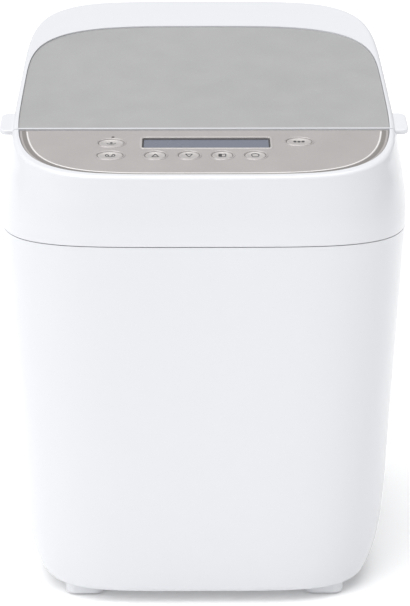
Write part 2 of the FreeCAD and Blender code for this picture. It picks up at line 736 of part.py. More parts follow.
def make_fascia():
    plate = panel_prism(PANEL_FIT, FASCIA_UNDER_W, FASCIA_TOP_W, v1=FASCIA_BACK_V)
    edges = []
    for edge in plate.Edges:
        first, last = edge.ParameterRange
        point = edge.valueAt((first + last) / 2.0)
        rise = (point.z - top_height(point.y)) * math.cos(SLOPE)
        long_edge = edge.BoundBox.YLength > 10.0
        if abs(rise - FASCIA_TOP_W) < 0.05 and long_edge:
            edges.append(edge)
    plate = plate.makeChamfer(FASCIA_BEVEL * 0.5, edges)
    window = rounded_block(WINDOW_HALF_WIDTH, WINDOW_HALF_DEPTH, WINDOW_RADIUS,
                           FASCIA_UNDER_W - 1.0, 5.0, WINDOW_U, WINDOW_V)
    cuts = [on_top(window)]
    rings = []
    for _, u, v, (half_u, half_v) in BUTTONS:
        cuts.append(on_top(oval(half_u, half_v, FASCIA_UNDER_W - 1.0, 5.0, u, v)))
        reach = BUTTON_RING * 1.3
        rings.append(on_top(oval_ring(half_u + reach, half_v + reach, BUTTON_RING,
                                      FASCIA_TOP_W - 0.2, u, v)))
    plate = plate.fuse(rings)
    plate = plate.cut(cuts)
    under = slab(-BIG, BIG, -BIG, FASCIA_UNDER_W)
    keep("control_panel", plate.cut(under))


def make_display():
    lens = rounded_block(WINDOW_HALF_WIDTH + LENS_EDGE, WINDOW_HALF_DEPTH + LENS_EDGE, 2.0,
                         FASCIA_UNDER_W - LENS_THICK, FASCIA_UNDER_W - 0.02, WINDOW_U, WINDOW_V)
    boss = rounded_block(WINDOW_HALF_WIDTH - LENS_FIT, WINDOW_HALF_DEPTH - LENS_FIT,
                         WINDOW_RADIUS - LENS_FIT, FASCIA_UNDER_W - LENS_THICK,
                         FASCIA_TOP_W - LENS_SUNK, WINDOW_U, WINDOW_V)
    keep("display_window", on_top(lens.fuse(boss)))
    top_w = FASCIA_UNDER_W - LENS_THICK - LENS_GAP
    half = WINDOW_HALF_WIDTH + LCD_MARGIN
    module = box(WINDOW_U - half, WINDOW_U + half,
                 WINDOW_V - WINDOW_HALF_DEPTH - 3.0, WINDOW_V + WINDOW_HALF_DEPTH + 3.0,
                 top_w - LCD_THICK, top_w)
    keep("display_module", on_top(module))


def button_bottom_w():
    return BOARD_W + SWITCH_HEIGHT + SWITCH_PLUNGER + 0.05


def button_dish(half_u, half_v, u, v, top_w):
    """The oval hollow in a button's top: part of a ball, narrowed along the slope."""
    ball_radius = (half_u * half_u + BUTTON_DISH * BUTTON_DISH) / (2.0 * BUTTON_DISH)
    ball = Part.makeSphere(ball_radius, V(0.0, 0.0, ball_radius - BUTTON_DISH))
    cap = ball.common(box(-BIG, BIG, -BIG, BIG, -BUTTON_DISH - 1.0, 0.5))
    narrow = FreeCAD.Matrix()
    narrow.scale(1.0, half_v / half_u, 1.0)
    dish = cap.transformGeometry(narrow)
    dish.translate(V(u, v, top_w))
    return dish


def make_buttons():
    for name, u, v, (hole_u, hole_v) in BUTTONS:
        half_u = hole_u - BUTTON_GAP
        half_v = hole_v - BUTTON_GAP
        top_w = FASCIA_TOP_W + BUTTON_PROUD
        flange_top = FASCIA_UNDER_W - BUTTON_PLAY
        cap = oval(half_u, half_v, flange_top - BUTTON_FLANGE_THICK, top_w, u, v)
        cap = rounded_edges(cap, 0.3, lambda edge: abs(edge.BoundBox.ZMin - top_w) < 1e-4
                            and edge.BoundBox.ZLength < 1e-4)
        flange = oval(half_u + BUTTON_FLANGE, half_v + BUTTON_FLANGE,
                      flange_top - BUTTON_FLANGE_THICK, flange_top, u, v)
        stem = rod(BUTTON_STEM_RADIUS, button_bottom_w(), flange_top, u, v)
        body = cap.fuse([flange, stem])
        body = body.cut(button_dish(half_u - BUTTON_LIP, half_v - BUTTON_LIP, u, v, top_w))
        lens_edge = WINDOW_V - WINDOW_HALF_DEPTH - 3.0
        if v < lens_edge:
            body = body.cut(box(u - 20.0, u + 20.0, lens_edge - 0.3, lens_edge + 20.0,
                                -BIG, flange_top))
        keep(name, on_top(body))


def make_control_board():
    board = box(-BOARD_HALF_WIDTH, BOARD_HALF_WIDTH, BOARD_FRONT_V, BOARD_BACK_V,
                BOARD_W - BOARD_THICK, BOARD_W)
    keep("control_board", on_top(board))
    switches = []
    half = SWITCH_SIDE / 2.0
    for _, u, v, _ in BUTTONS:
        body = box(u - half, u + half, v - half, v + half, BOARD_W, BOARD_W + SWITCH_HEIGHT)
        plunger = rod(1.6, BOARD_W + SWITCH_HEIGHT - 0.5,
                      BOARD_W + SWITCH_HEIGHT + SWITCH_PLUNGER - BUTTON_TRAVEL, u, v)
        switches.append(on_top(body.fuse(plunger)))
    keep("button_switches", Part.makeCompound(switches))
    posts = []
    for u in (-BOARD_HALF_WIDTH + 5.0, BOARD_HALF_WIDTH - 5.0):
        for v in (BOARD_FRONT_V + 6.0, BOARD_BACK_V - 6.0):
            posts.append(on_top(rod(3.0, BOARD_W, FASCIA_UNDER_W, u, v)))
    lcd_under_w = FASCIA_UNDER_W - LENS_THICK - LENS_GAP - LCD_THICK
    for sx in (-1, 1):
        for shift in (-5.0, 5.0):
            u = sx * (WINDOW_HALF_WIDTH + LCD_MARGIN - 3.0)
            posts.append(on_top(rod(1.5, BOARD_W, lcd_under_w, u, WINDOW_V + shift)))
    keep("board_posts", Part.makeCompound(posts))


# ---------------------------------------------------------------- oven

def make_oven():
    walls = oven_prism(SHEET, OVEN_FLOOR_Z, BIG).cut(oven_prism(0.0, OVEN_FLOOR_Z + SHEET, BIG + 1))
    flange_w = DECK_UNDER_W - FLANGE_FIT
    walls = walls.common(slab(-BIG, BIG, -2 * BIG, flange_w))
    flange = oven_prism(FLANGE, SEAM_Z, BIG).cut(oven_prism(0.0, SEAM_Z - 1.0, BIG + 1))
    flange = flange.common(slab(-BIG, BIG, flange_w - SHEET, flange_w))
    oven = walls.fuse(flange)
    oven = oven.cut(rod(SLEEVE_RADIUS + HOLD_FIT, OVEN_FLOOR_Z - 5.0, OVEN_FLOOR_Z + 5.0, 0.0,
                        OVEN_Y))
    for sx in (-1, 1):
        oven = oven.cut(rod_along(INSULATOR_RADIUS - 2.0 + HOLD_FIT,
                                  (sx * HEATER_GAP_HALF, OVEN_Y - OVEN_HALF_Y - 10.0, HEATER_Z),
                                  (0, 1, 0), 20.0))
    oven = oven.cut(rod_along(2.5 + HOLD_FIT, probe_start(), (0, 1, 0), 30.0))
    keep("oven_chamber", oven)
    trim_flat = oven_prism(TRIM_WIDTH, SEAM_Z, BIG).cut(oven_prism(-TRIM_THICK, SEAM_Z - 1, BIG + 1))
    trim_flat = trim_flat.common(slab(-BIG, BIG, DECK_TOP_W + 0.02, DECK_TOP_W + TRIM_THICK))
    lip = oven_prism(-0.05, SEAM_Z, BIG).cut(oven_prism(-TRIM_THICK, SEAM_Z - 1.0, BIG + 1))
    lip = lip.common(slab(-BIG, BIG, DECK_TOP_W - TRIM_LIP, DECK_TOP_W + TRIM_THICK))
    keep("chamber_trim", trim_flat.fuse(lip).removeSplitter())


def probe_start():
    return (-52.0, OVEN_Y - OVEN_HALF_Y - 12.0, 160.0)


def make_heater():
    y_front = OVEN_Y - HEATER_HALF_Y
    y_back = OVEN_Y + HEATER_HALF_Y
    y_out = OVEN_Y - OVEN_HALF_Y - HEATER_TAIL
    route = [
        (HEATER_GAP_HALF, y_out, HEATER_Z),
        (HEATER_GAP_HALF, y_front, HEATER_Z),
        (HEATER_HALF_X, y_front, HEATER_Z),
        (HEATER_HALF_X, y_back, HEATER_Z),
        (-HEATER_HALF_X, y_back, HEATER_Z),
        (-HEATER_HALF_X, y_front, HEATER_Z),
        (-HEATER_GAP_HALF, y_front, HEATER_Z),
        (-HEATER_GAP_HALF, y_out, HEATER_Z),
    ]
    corner = HEATER_CORNER
    bends = [HEATER_TAIL_BEND, corner, corner, corner, corner, HEATER_TAIL_BEND]
    element = [pipe(route, bends, HEATER_RADIUS)]
    wall_out = OVEN_Y - OVEN_HALF_Y - SHEET
    sleeves = []
    for sx in (-1, 1):
        x = sx * HEATER_GAP_HALF
        thin = rod_along(INSULATOR_RADIUS - 2.0, (x, wall_out - 0.5, HEATER_Z), (0, 1, 0), 3.0)
        wide = rod_along(INSULATOR_RADIUS, (x, wall_out - 7.0, HEATER_Z), (0, 1, 0), 6.9)
        bore = rod_along(HEATER_RADIUS + HOLD_FIT, (x, wall_out - 20.0, HEATER_Z), (0, 1, 0), 40.0)
        sleeves.append(thin.fuse(wide).cut(bore))
        element.append(box(x - 3.0, x + 3.0, y_out - 9.0, y_out + 0.5, HEATER_Z - 0.4,
                           HEATER_Z + 0.4))
    keep("heater_insulators", Part.makeCompound(sleeves))
    keep("heater_element", fuse_all(element))
    clips = []
    reach = OVEN_HALF_X - HEATER_HALF_X
    for sx in (-1, 1):
        x_tube = sx * HEATER_HALF_X
        x_wall = sx * OVEN_HALF_X
        loop = rod_along(HEATER_RADIUS + CLIP_THICK, (x_tube, OVEN_Y - CLIP_WIDTH / 2.0, HEATER_Z),
                         (0, 1, 0), CLIP_WIDTH)
        arm = box(*sorted((x_tube, x_wall)), OVEN_Y - CLIP_WIDTH / 2.0, OVEN_Y + CLIP_WIDTH / 2.0,
                  HEATER_Z + HEATER_RADIUS, HEATER_Z + HEATER_RADIUS + CLIP_THICK)
        tab = box(*sorted((x_wall, x_wall - sx * CLIP_THICK)), OVEN_Y - CLIP_WIDTH / 2.0,
                  OVEN_Y + CLIP_WIDTH / 2.0, HEATER_Z, HEATER_Z + reach + 8.0)
        clip = loop.fuse([arm, tab])
        clip = clip.cut(rod_along(HEATER_RADIUS + HOLD_FIT, (x_tube, OVEN_Y - 20.0, HEATER_Z),
                                  (0, 1, 0), 40.0))
        clips.append(clip)
    keep("heater_clips", Part.makeCompound(clips))


def make_oven_sensors():
    x, y, z = probe_start()
    wall_out = OVEN_Y - OVEN_HALF_Y - SHEET
    stem = rod_along(2.5, (x, y, z), (0, 1, 0), 22.0)
    collar = rod_along(6.0, (x, wall_out - 2.0, z), (0, 1, 0), 1.95)
    keep("temperature_probe", stem.fuse(collar))
    y_back = OVEN_Y + OVEN_HALF_Y + SHEET
    bracket = box(-14.0, 14.0, y_back + 0.02, y_back + 1.2, 138.0, 150.0)
    fuse_tube = rod_along(3.0, (-10.0, y_back + 3.9, 144.0), (1, 0, 0), 20.0)
    keep("thermal_fuse", bracket.fuse(fuse_tube))


# ---------------------------------------------------------------- pan

def pan_solid(grow, z0, z1):
    """The pan's tapered body: outline grown by a wall, between two heights."""
    def outline(z):
        share = (PAN_TOP_Z - z) / PAN_HEIGHT
        pull = PAN_DRAFT * share
        return rounded_wire(PAN_HALF_X - pull + grow, PAN_HALF_Y - pull + grow,
                            PAN_RADIUS - pull * 0.5 + grow, 0.0, OVEN_Y, z)
    return Part.makeLoft([outline(z0), outline(z1)], True, True)


def bail_axis_z():
    return PAN_TOP_Z + BAIL_ABOVE_RIM


def make_pan():
    floor_top = PAN_FLOOR_Z + PAN_FLOOR
    outside = pan_solid(PAN_WALL, PAN_FLOOR_Z, PAN_TOP_Z)
    outside = rounded_edges(outside, 4.0, lambda edge: edge.BoundBox.ZMax < PAN_FLOOR_Z + 0.01)
    rim = rounded_block(PAN_HALF_X + PAN_WALL + RIM_WIDTH, PAN_HALF_Y + PAN_WALL + RIM_WIDTH,
                        PAN_RADIUS + PAN_WALL + RIM_WIDTH, PAN_TOP_Z - RIM_HEIGHT, PAN_TOP_Z, 0.0,
                        OVEN_Y)
    outer_x = PAN_HALF_X + PAN_WALL + RIM_WIDTH
    rim = rounded_edges(rim, RIM_EDGE, lambda edge: edge.BoundBox.ZLength < 0.01)
    lugs = []
    for sx in (-1, 1):
        x0, x1 = sorted((sx * (outer_x - 3.6), sx * (outer_x - 3.6 + LUG_THICK)))
        lug = box(x0, x1, OVEN_Y - LUG_HALF, OVEN_Y + LUG_HALF, PAN_TOP_Z - 9.0,
                  PAN_TOP_Z + LUG_RISE)
        lug = rounded_edges(lug, 5.0, lambda edge: edge.BoundBox.XLength > LUG_THICK - 0.1
                            and edge.BoundBox.ZMin > PAN_TOP_Z and edge.BoundBox.ZLength < 0.01)
        lugs.append(lug)
    boss = rod(PAN_BOSS_RADIUS, WING_Z + WING_HEIGHT + 1.0, floor_top + PAN_BOSS_TOP, 0.0, OVEN_Y)
    pan = outside.fuse([rim] + lugs)
    inside = pan_solid(0.0, floor_top, PAN_TOP_Z + 1.0)
    inside = rounded_edges(inside, 5.0, lambda edge: edge.BoundBox.ZMax < floor_top + 0.01)
    pan = pan.cut(inside)
    ribs = []
    for sx in (-1, 1):
        lower = V(sx * (PAN_HALF_X - PAN_DRAFT), OVEN_Y + sx * 18.0, floor_top + 1.0)
        upper = V(sx * PAN_HALF_X, OVEN_Y + sx * 18.0, PAN_TOP_Z)
        way = upper - lower
        rib = Part.makeCone(PAN_RIB_RADIUS, 0.6, way.Length * 0.8, lower, way)
        ribs.append(rib.common(pan_solid(0.4, floor_top - 1.0, PAN_TOP_Z)))
    pan = pan.fuse(ribs + [boss])
    pan = pan.cut(rod(BUSH_RADIUS - 0.5 + HOLD_FIT, 0.0, floor_top + PAN_BOSS_TOP + 1.0, 0.0,
                      OVEN_Y))
    for sx in (-1, 1):
        pan = pan.cut(rod_along(BAIL_RADIUS + RUN_FIT, (sx * 70.0, OVEN_Y, bail_axis_z()),
                                (sx, 0, 0), 40.0))
    keep("bread_pan", biggest(pan.removeSplitter()))
    base_low = SEAT_TOP_Z + BASE_RING_GAP
    foot = ring(BASE_RING_RADIUS, BASE_RING_RADIUS - BASE_RING_WALL, base_low,
                PAN_FLOOR_Z - HOLD_FIT, 0.0, OVEN_Y)
    keep("pan_base_ring", foot)
    bush = ring(BUSH_RADIUS - 0.5, SHAFT_RADIUS + RUN_FIT, WING_Z + WING_HEIGHT + 1.0,
                floor_top + PAN_BOSS_TOP, 0.0, OVEN_Y)
    keep("pan_bush", bush)
    seal_z = floor_top + PAN_BOSS_TOP
    seal = ring(SEAL_RADIUS, SHAFT_RADIUS + RUN_FIT, seal_z + 0.01, seal_z + SEAL_HEIGHT, 0.0,
                OVEN_Y)
    seal = rounded_edges(seal, 1.2, lambda edge: abs(edge.BoundBox.ZMin - seal_z - SEAL_HEIGHT)
                         < 1e-3 and edge.BoundBox.XLength > 2 * SEAL_RADIUS - 0.5)
    keep("pan_shaft_seal", seal)


def make_bail():
    z = bail_axis_z()
    route = [
        (BAIL_END, OVEN_Y, z),
        (BAIL_HALF_SPAN, OVEN_Y, z),
        (BAIL_HALF_SPAN, OVEN_Y - BAIL_REACH, z),
        (-BAIL_HALF_SPAN, OVEN_Y - BAIL_REACH, z),
        (-BAIL_HALF_SPAN, OVEN_Y, z),
        (-BAIL_END, OVEN_Y, z),
    ]
    keep("pan_handle", pipe(route, [BAIL_END_BEND, BAIL_BEND, BAIL_BEND, BAIL_END_BEND],
                            BAIL_RADIUS))


def make_pan_shaft():
    floor_top = PAN_FLOOR_Z + PAN_FLOOR
    shaft = rod(SHAFT_RADIUS, WING_Z, floor_top + PAN_SHAFT_RISE, 0.0, OVEN_Y)
    shaft = rounded_edges(shaft, 1.0, lambda edge: edge.BoundBox.ZMin > floor_top + 1.0
                          and edge.BoundBox.ZLength < 0.01)
    key_z = floor_top + PAN_BOSS_TOP + SEAL_HEIGHT + 1.0
    flat = box(SHAFT_RADIUS - 1.0, 9.0, OVEN_Y - 9.0, OVEN_Y + 9.0, key_z,
               floor_top + PAN_SHAFT_RISE + 1.0)
    keep("pan_shaft", shaft.cut(flat))
    wing = rounded_block(WING_HALF, WING_WIDTH / 2.0, WING_WIDTH / 2.0 - 0.05, WING_Z,
                         WING_Z + WING_HEIGHT, 0.0, OVEN_Y)
    hub = rod(SHAFT_RADIUS + 3.0, WING_Z, WING_Z + WING_HEIGHT, 0.0, OVEN_Y)
    wing = wing.fuse(hub).cut(rod(SHAFT_RADIUS + HOLD_FIT, 0.0, BIG, 0.0, OVEN_Y))
    keep("pan_wing", wing)


def make_blade():
    floor_top = PAN_FLOOR_Z + PAN_FLOOR
    z0 = floor_top + PAN_BOSS_TOP + SEAL_HEIGHT + BLADE_FLOOR_GAP
    hub = Part.makeCone(BLADE_HUB_RADIUS + 1.0, BLADE_HUB_RADIUS - 1.0, BLADE_HEIGHT,
                        V(0, OVEN_Y, z0))
    half = BLADE_THICK / 2.0
    low = floor_top + 1.6
    profile = Part.makePolygon([V(0, OVEN_Y + half, z0), V(SEAL_RADIUS + 2.0, OVEN_Y + half, z0),
                                V(SEAL_RADIUS + 3.5, OVEN_Y + half, low),
                                V(BLADE_LENGTH, OVEN_Y + half, low),
                                V(BLADE_LENGTH + 2.0, OVEN_Y + half, low + BLADE_TIP_HEIGHT * 0.5),
                                V(BLADE_LENGTH - 2.0, OVEN_Y + half, low + BLADE_TIP_HEIGHT),
                                V(BLADE_LENGTH * 0.45, OVEN_Y + half, z0 + BLADE_HEIGHT * 0.8),
                                V(0, OVEN_Y + half, z0 + BLADE_HEIGHT * 0.95),
                                V(0, OVEN_Y + half, z0)])
    fin = Part.Face(profile).extrude(V(0, -BLADE_THICK, 0))
    fin = rounded_edges(fin, 1.6, lambda edge: edge.BoundBox.YLength < 0.01
                        and edge.BoundBox.Center.x > BLADE_LENGTH * 0.3)
    blade = hub.fuse(fin)
    bore = rod(SHAFT_RADIUS + RUN_FIT, 0.0, BIG, 0.0, OVEN_Y)
    flat = box(SHAFT_RADIUS - 1.0 + RUN_FIT, 9.0, OVEN_Y - 9.0, OVEN_Y + 9.0, 0.0, BIG)
    keep("kneading_blade", blade.cut(bore.cut(flat)))


# ---------------------------------------------------------------- drive

def make_seat():
    inner = BASE_RING_RADIUS + SEAT_GAP
    plate = rod(inner + SEAT_WALL, OVEN_FLOOR_Z + SHEET, SEAT_TOP_Z, 0.0, OVEN_Y)
    wall = ring(inner + SEAT_WALL, inner, OVEN_FLOOR_Z + SHEET, SEAT_TOP_Z + SEAT_HEIGHT, 0.0,
                OVEN_Y)
    sleeve = rod(SLEEVE_RADIUS, SLEEVE_BOTTOM_Z, SEAT_TOP_Z, 0.0, OVEN_Y)
    seat = plate.fuse([wall, sleeve])
    seat = seat.cut(rod(BUSH_RADIUS + HOLD_FIT, 0.0, BIG, 0.0, OVEN_Y))
    for x, y in seat_screw_places():
        seat = seat.cut(rod(SCREW_RADIUS + 0.1, OVEN_FLOOR_Z, SEAT_TOP_Z + 1.0, x, y))
    keep("pan_seat", seat.removeSplitter())
    bushes = []
    for z0 in (SLEEVE_BOTTOM_Z, SEAT_TOP_Z - BUSH_LENGTH):
        bushes.append(ring(BUSH_RADIUS, SHAFT_RADIUS + RUN_FIT, z0, z0 + BUSH_LENGTH, 0.0, OVEN_Y))
    keep("shaft_bearings", Part.makeCompound(bushes))


def seat_screw_places():
    reach = BASE_RING_RADIUS - BASE_RING_WALL - 10.0
    places = []
    for index in range(3):
        angle = math.radians(90.0 + 120.0 * index)
        places.append((reach * math.cos(angle), OVEN_Y + reach * math.sin(angle)))
    return places


def pulley(radius, hub, shaft, z0, x, y, web_holes):
    """Flat belt pulley with two flanges; a wide one is webbed and pierced."""
    z1 = z0 + PULLEY_HEIGHT
    wheel = rod(radius, z0, z1, x, y)
    for edge_z in (z0, z1 - PULLEY_FLANGE_THICK):
        wheel = wheel.fuse(rod(radius + PULLEY_FLANGE, edge_z, edge_z + PULLEY_FLANGE_THICK, x, y))
    if web_holes:
        web_z = z0 + (PULLEY_HEIGHT - PULLEY_WEB) / 2.0
        pocket = ring(radius - PULLEY_RIM, hub, z0 - 1.0, web_z, x, y)
        pocket_top = ring(radius - PULLEY_RIM, hub, web_z + PULLEY_WEB, z1 + 1.0, x, y)
        wheel = wheel.cut([pocket, pocket_top])
        reach = (radius - PULLEY_RIM + hub) / 2.0
        for index in range(web_holes):
            angle = 2.0 * math.pi * index / web_holes
            wheel = wheel.cut(rod(PULLEY_HOLE_RADIUS, z0 - 1.0, z1 + 1.0,
                                  x + reach * math.cos(angle), y + reach * math.sin(angle)))
    return wheel.cut(rod(shaft + HOLD_FIT, z0 - 1.0, z1 + 1.0, x, y)).removeSplitter()


def make_drive():
    keep("drive_shaft", rod(SHAFT_RADIUS, SHAFT_BOTTOM_Z, COUPLING_Z + COUPLING_THICK, 0.0, OVEN_Y))
    keep("drive_pulley", pulley(PULLEY_RADIUS, PULLEY_HUB, SHAFT_RADIUS, PULLEY_Z, 0.0, OVEN_Y,
                                PULLEY_HOLES))
    disc = rod(COUPLING_RADIUS, COUPLING_Z, COUPLING_Z + COUPLING_THICK, 0.0, OVEN_Y)
    dogs = []
    for sy in (-1, 1):
        y0, y1 = sorted((OVEN_Y + sy * DOG_INNER, OVEN_Y + sy * (COUPLING_RADIUS - 1.0)))
        dogs.append(box(-DOG_WIDTH / 2.0, DOG_WIDTH / 2.0, y0, y1, COUPLING_Z + COUPLING_THICK - 0.5,
                        COUPLING_Z + COUPLING_THICK + DOG_HEIGHT))
    coupling = disc.fuse(dogs).cut(rod(SHAFT_RADIUS + HOLD_FIT, 0.0, BIG, 0.0, OVEN_Y))
    keep("drive_coupling", coupling.removeSplitter())
    motor_z = CHASSIS_Z + CHASSIS_THICK + MOTOR_MOUNT_HEIGHT
    keep("motor_shaft", rod(MOTOR_SHAFT_RADIUS, SHAFT_BOTTOM_Z, motor_z + MOTOR_HEIGHT + 4.0,
                            MOTOR_X, MOTOR_Y))
    keep("motor_pulley", pulley(MOTOR_PULLEY_RADIUS, MOTOR_PULLEY_RADIUS, MOTOR_SHAFT_RADIUS,
                                PULLEY_Z, MOTOR_X, MOTOR_Y, 0))
    keep("drive_belt", belt())
    stack_z = motor_z + (MOTOR_HEIGHT - MOTOR_STACK) / 2.0
    stack = rounded_block(MOTOR_HALF, MOTOR_HALF, 5.0, stack_z, stack_z + MOTOR_STACK, MOTOR_X,
                          MOTOR_Y)
    caps = rod(MOTOR_CAP_RADIUS, motor_z, motor_z + MOTOR_HEIGHT, MOTOR_X, MOTOR_Y)
    caps = rounded_edges(caps, 3.0, lambda edge: edge.BoundBox.ZLength < 0.01)
    plate = box(MOTOR_X - MOTOR_HALF, MOTOR_X + MOTOR_HALF, MOTOR_Y - 12.0, MOTOR_Y + 12.0,
                motor_z, motor_z + 2.0)
    motor = stack.fuse([caps, plate])
    motor = motor.cut(rod(MOTOR_SHAFT_RADIUS + RUN_FIT, 0.0, BIG, MOTOR_X, MOTOR_Y))
    keep("drive_motor", motor.removeSplitter())
    mounts = []
    for sx in (-1, 1):
        for sy in (-1, 1):
            mounts.append(rod(MOTOR_MOUNT_RADIUS, CHASSIS_Z + CHASSIS_THICK, motor_z,
                              MOTOR_X + sx * (MOTOR_HALF - 6.0), MOTOR_Y + sy * 6.0))
    keep("motor_mounts", Part.makeCompound(mounts))


def belt_loop(grow, z0, z1):
    """Filled outline of the belt: two circles and the strip between their tangents."""
    big = PULLEY_RADIUS + grow
    small = MOTOR_PULLEY_RADIUS + grow
    dx = MOTOR_X
    dy = MOTOR_Y - OVEN_Y
    span = math.hypot(dx, dy)
    heading = math.atan2(dy, dx)
    open_angle = math.acos((big - small) / span)
    corners = []
    for side in (1, -1):
        angle = heading + side * open_angle
        corners.append((V(big * math.cos(angle), OVEN_Y + big * math.sin(angle), z0),
                        V(MOTOR_X + small * math.cos(angle), MOTOR_Y + small * math.sin(angle), z0)))
    quad = Part.makePolygon([corners[0][0], corners[0][1], corners[1][1], corners[1][0],
                             corners[0][0]])
    strip = Part.Face(quad).extrude(V(0, 0, z1 - z0))
    return strip.fuse([rod(big, z0, z1, 0.0, OVEN_Y), rod(small, z0, z1, MOTOR_X, MOTOR_Y)])


def belt():
    z0 = PULLEY_Z + PULLEY_FLANGE_THICK + BELT_SIDE_GAP
    z1 = PULLEY_Z + PULLEY_HEIGHT - PULLEY_FLANGE_THICK - BELT_SIDE_GAP
    outer = belt_loop(BELT_GAP + BELT_THICK, z0, z1)
    return outer.cut(belt_loop(BELT_GAP, z0 - 1.0, z1 + 1.0)).removeSplitter()


# ---------------------------------------------------------------- base and electrics

def make_chassis():
    half_y = (CHASSIS_REAR_Y - CHASSIS_FRONT_Y) / 2.0
    centre_y = (CHASSIS_REAR_Y + CHASSIS_FRONT_Y) / 2.0
    top_z = CHASSIS_Z + CHASSIS_THICK
    plate = rounded_block(CHASSIS_HALF_X, half_y, CHASSIS_CORNER, CHASSIS_Z, top_z, 0.0, centre_y)
    pieces = [plate]
    for x, y in leg_places():
        x0, x1 = sorted((x, x + math.copysign(CHASSIS_THICK, x)))
        pieces.append(box(x0, x1, y - LEG_HALF, y + LEG_HALF, FLOOR_TOP_Z, CHASSIS_Z + 0.5))
        toe0, toe1 = sorted((x, x - math.copysign(10.0, x)))
        pieces.append(box(toe0, toe1, y - LEG_HALF, y + LEG_HALF, FLOOR_TOP_Z,
                          FLOOR_TOP_Z + CHASSIS_THICK))
    for sx in (-1, 1):
        x0, x1 = sorted((sx * CHASSIS_HALF_X, sx * (CHASSIS_HALF_X - CHASSIS_THICK)))
        pieces.append(box(x0, x1, CHASSIS_FRONT_Y + CHASSIS_CORNER, CHASSIS_REAR_Y - CHASSIS_CORNER,
                          CHASSIS_Z - 8.0, CHASSIS_Z + 0.5))
    for shift in (-POWER_BOARD_HALF + 12.0, POWER_BOARD_HALF - 12.0):
        x = POWER_BOARD_X + shift
        pieces.append(box(x - 5.0, x + 5.0, BOARD_STAND_Y - 3.2, BOARD_STAND_Y - 1.65, top_z - 0.5,
                          top_z + 16.0))
    chassis = fuse_all(pieces)
    chassis = chassis.cut(rod(SLEEVE_RADIUS + HOLD_FIT, CHASSIS_Z - 1.0, top_z + 1.0, 0.0, OVEN_Y))
    chassis = chassis.cut(rod(MOTOR_SHAFT_RADIUS + 4.0, CHASSIS_Z - 1.0, top_z + 1.0, MOTOR_X,
                              MOTOR_Y))
    keep("chassis", chassis)
    spacers = []
    for sx in (-1, 1):
        for sy in (-1, 1):
            spacers.append(rod(SPACER_RADIUS, top_z, OVEN_FLOOR_Z, sx * SPACER_X,
                               OVEN_Y + sy * SPACER_Y))
    keep("chamber_spacers", Part.makeCompound(spacers))


def make_base():
    plate = base_outline(BASE_PLATE_EDGE, FLOOR_TOP_Z, FLOOR_TOP_Z + BASE_PLATE_THICK)
    for index in range(9):
        y = -64.0 + index * 16.0
        for sx in (-1, 1):
            plate = plate.cut(rounded_block(18.0, 2.5, 2.4, 0.0, BIG, sx * 36.0, y))
    for x, y in leg_places():
        if abs(y) - LEG_HALF < BASE_OPENING_REAR + BASE_PLATE_EDGE:
            plate = plate.cut(box(x - 14.0, x + 14.0, y - LEG_HALF - 1.0, y + LEG_HALF + 1.0,
                                  0.0, BIG))
    screws = []
    for x, y in base_screw_places():
        plate = plate.cut(rod(SCREW_RADIUS + 0.05, 0.0, BIG, x, y))
        screws.append(screw(x, y, BASE_Z - SCREW_HEAD - 0.02))
    for _, x, y in foot_places():
        screws.append(screw(x, y, PAD_THICK + 0.1))
    for x, y in seat_screw_places():
        head = rod(SCREW_HEAD_RADIUS, SEAT_TOP_Z + 0.01, SEAT_TOP_Z + 1.4, x, y)
        shank = rod(SCREW_RADIUS, OVEN_FLOOR_Z + SHEET + 0.02, SEAT_TOP_Z + 0.5, x, y)
        screws.append(head.fuse(shank))
    keep("base_plate", plate)
    keep("housing_screws", Part.makeCompound(screws))


def make_feet():
    pads = []
    for name, x, y in foot_places():
        foot = rounded_block(FOOT_HALF_X, FOOT_HALF_Y, FOOT_RADIUS, PAD_THICK, BASE_Z - 0.02, x, y)
        foot = rounded_edges(foot, FOOT_EDGE, lambda edge: edge.BoundBox.ZMax < PAD_THICK + 0.01)
        foot = foot.cut(rod(SCREW_HEAD_RADIUS + 0.2, 0.0, PAD_THICK + SCREW_HEAD + 0.2, x, y))
        foot = foot.cut(rod(SCREW_RADIUS + 0.1, 0.0, BASE_Z + 1.0, x, y))
        keep("foot_" + name, foot)
        pads.append(rounded_block(FOOT_HALF_X - PAD_INSET, FOOT_HALF_Y - PAD_INSET,
                                  FOOT_RADIUS - PAD_INSET, 0.0, PAD_THICK - 0.02, x, y))
    keep("foot_pads", Part.makeCompound(pads))


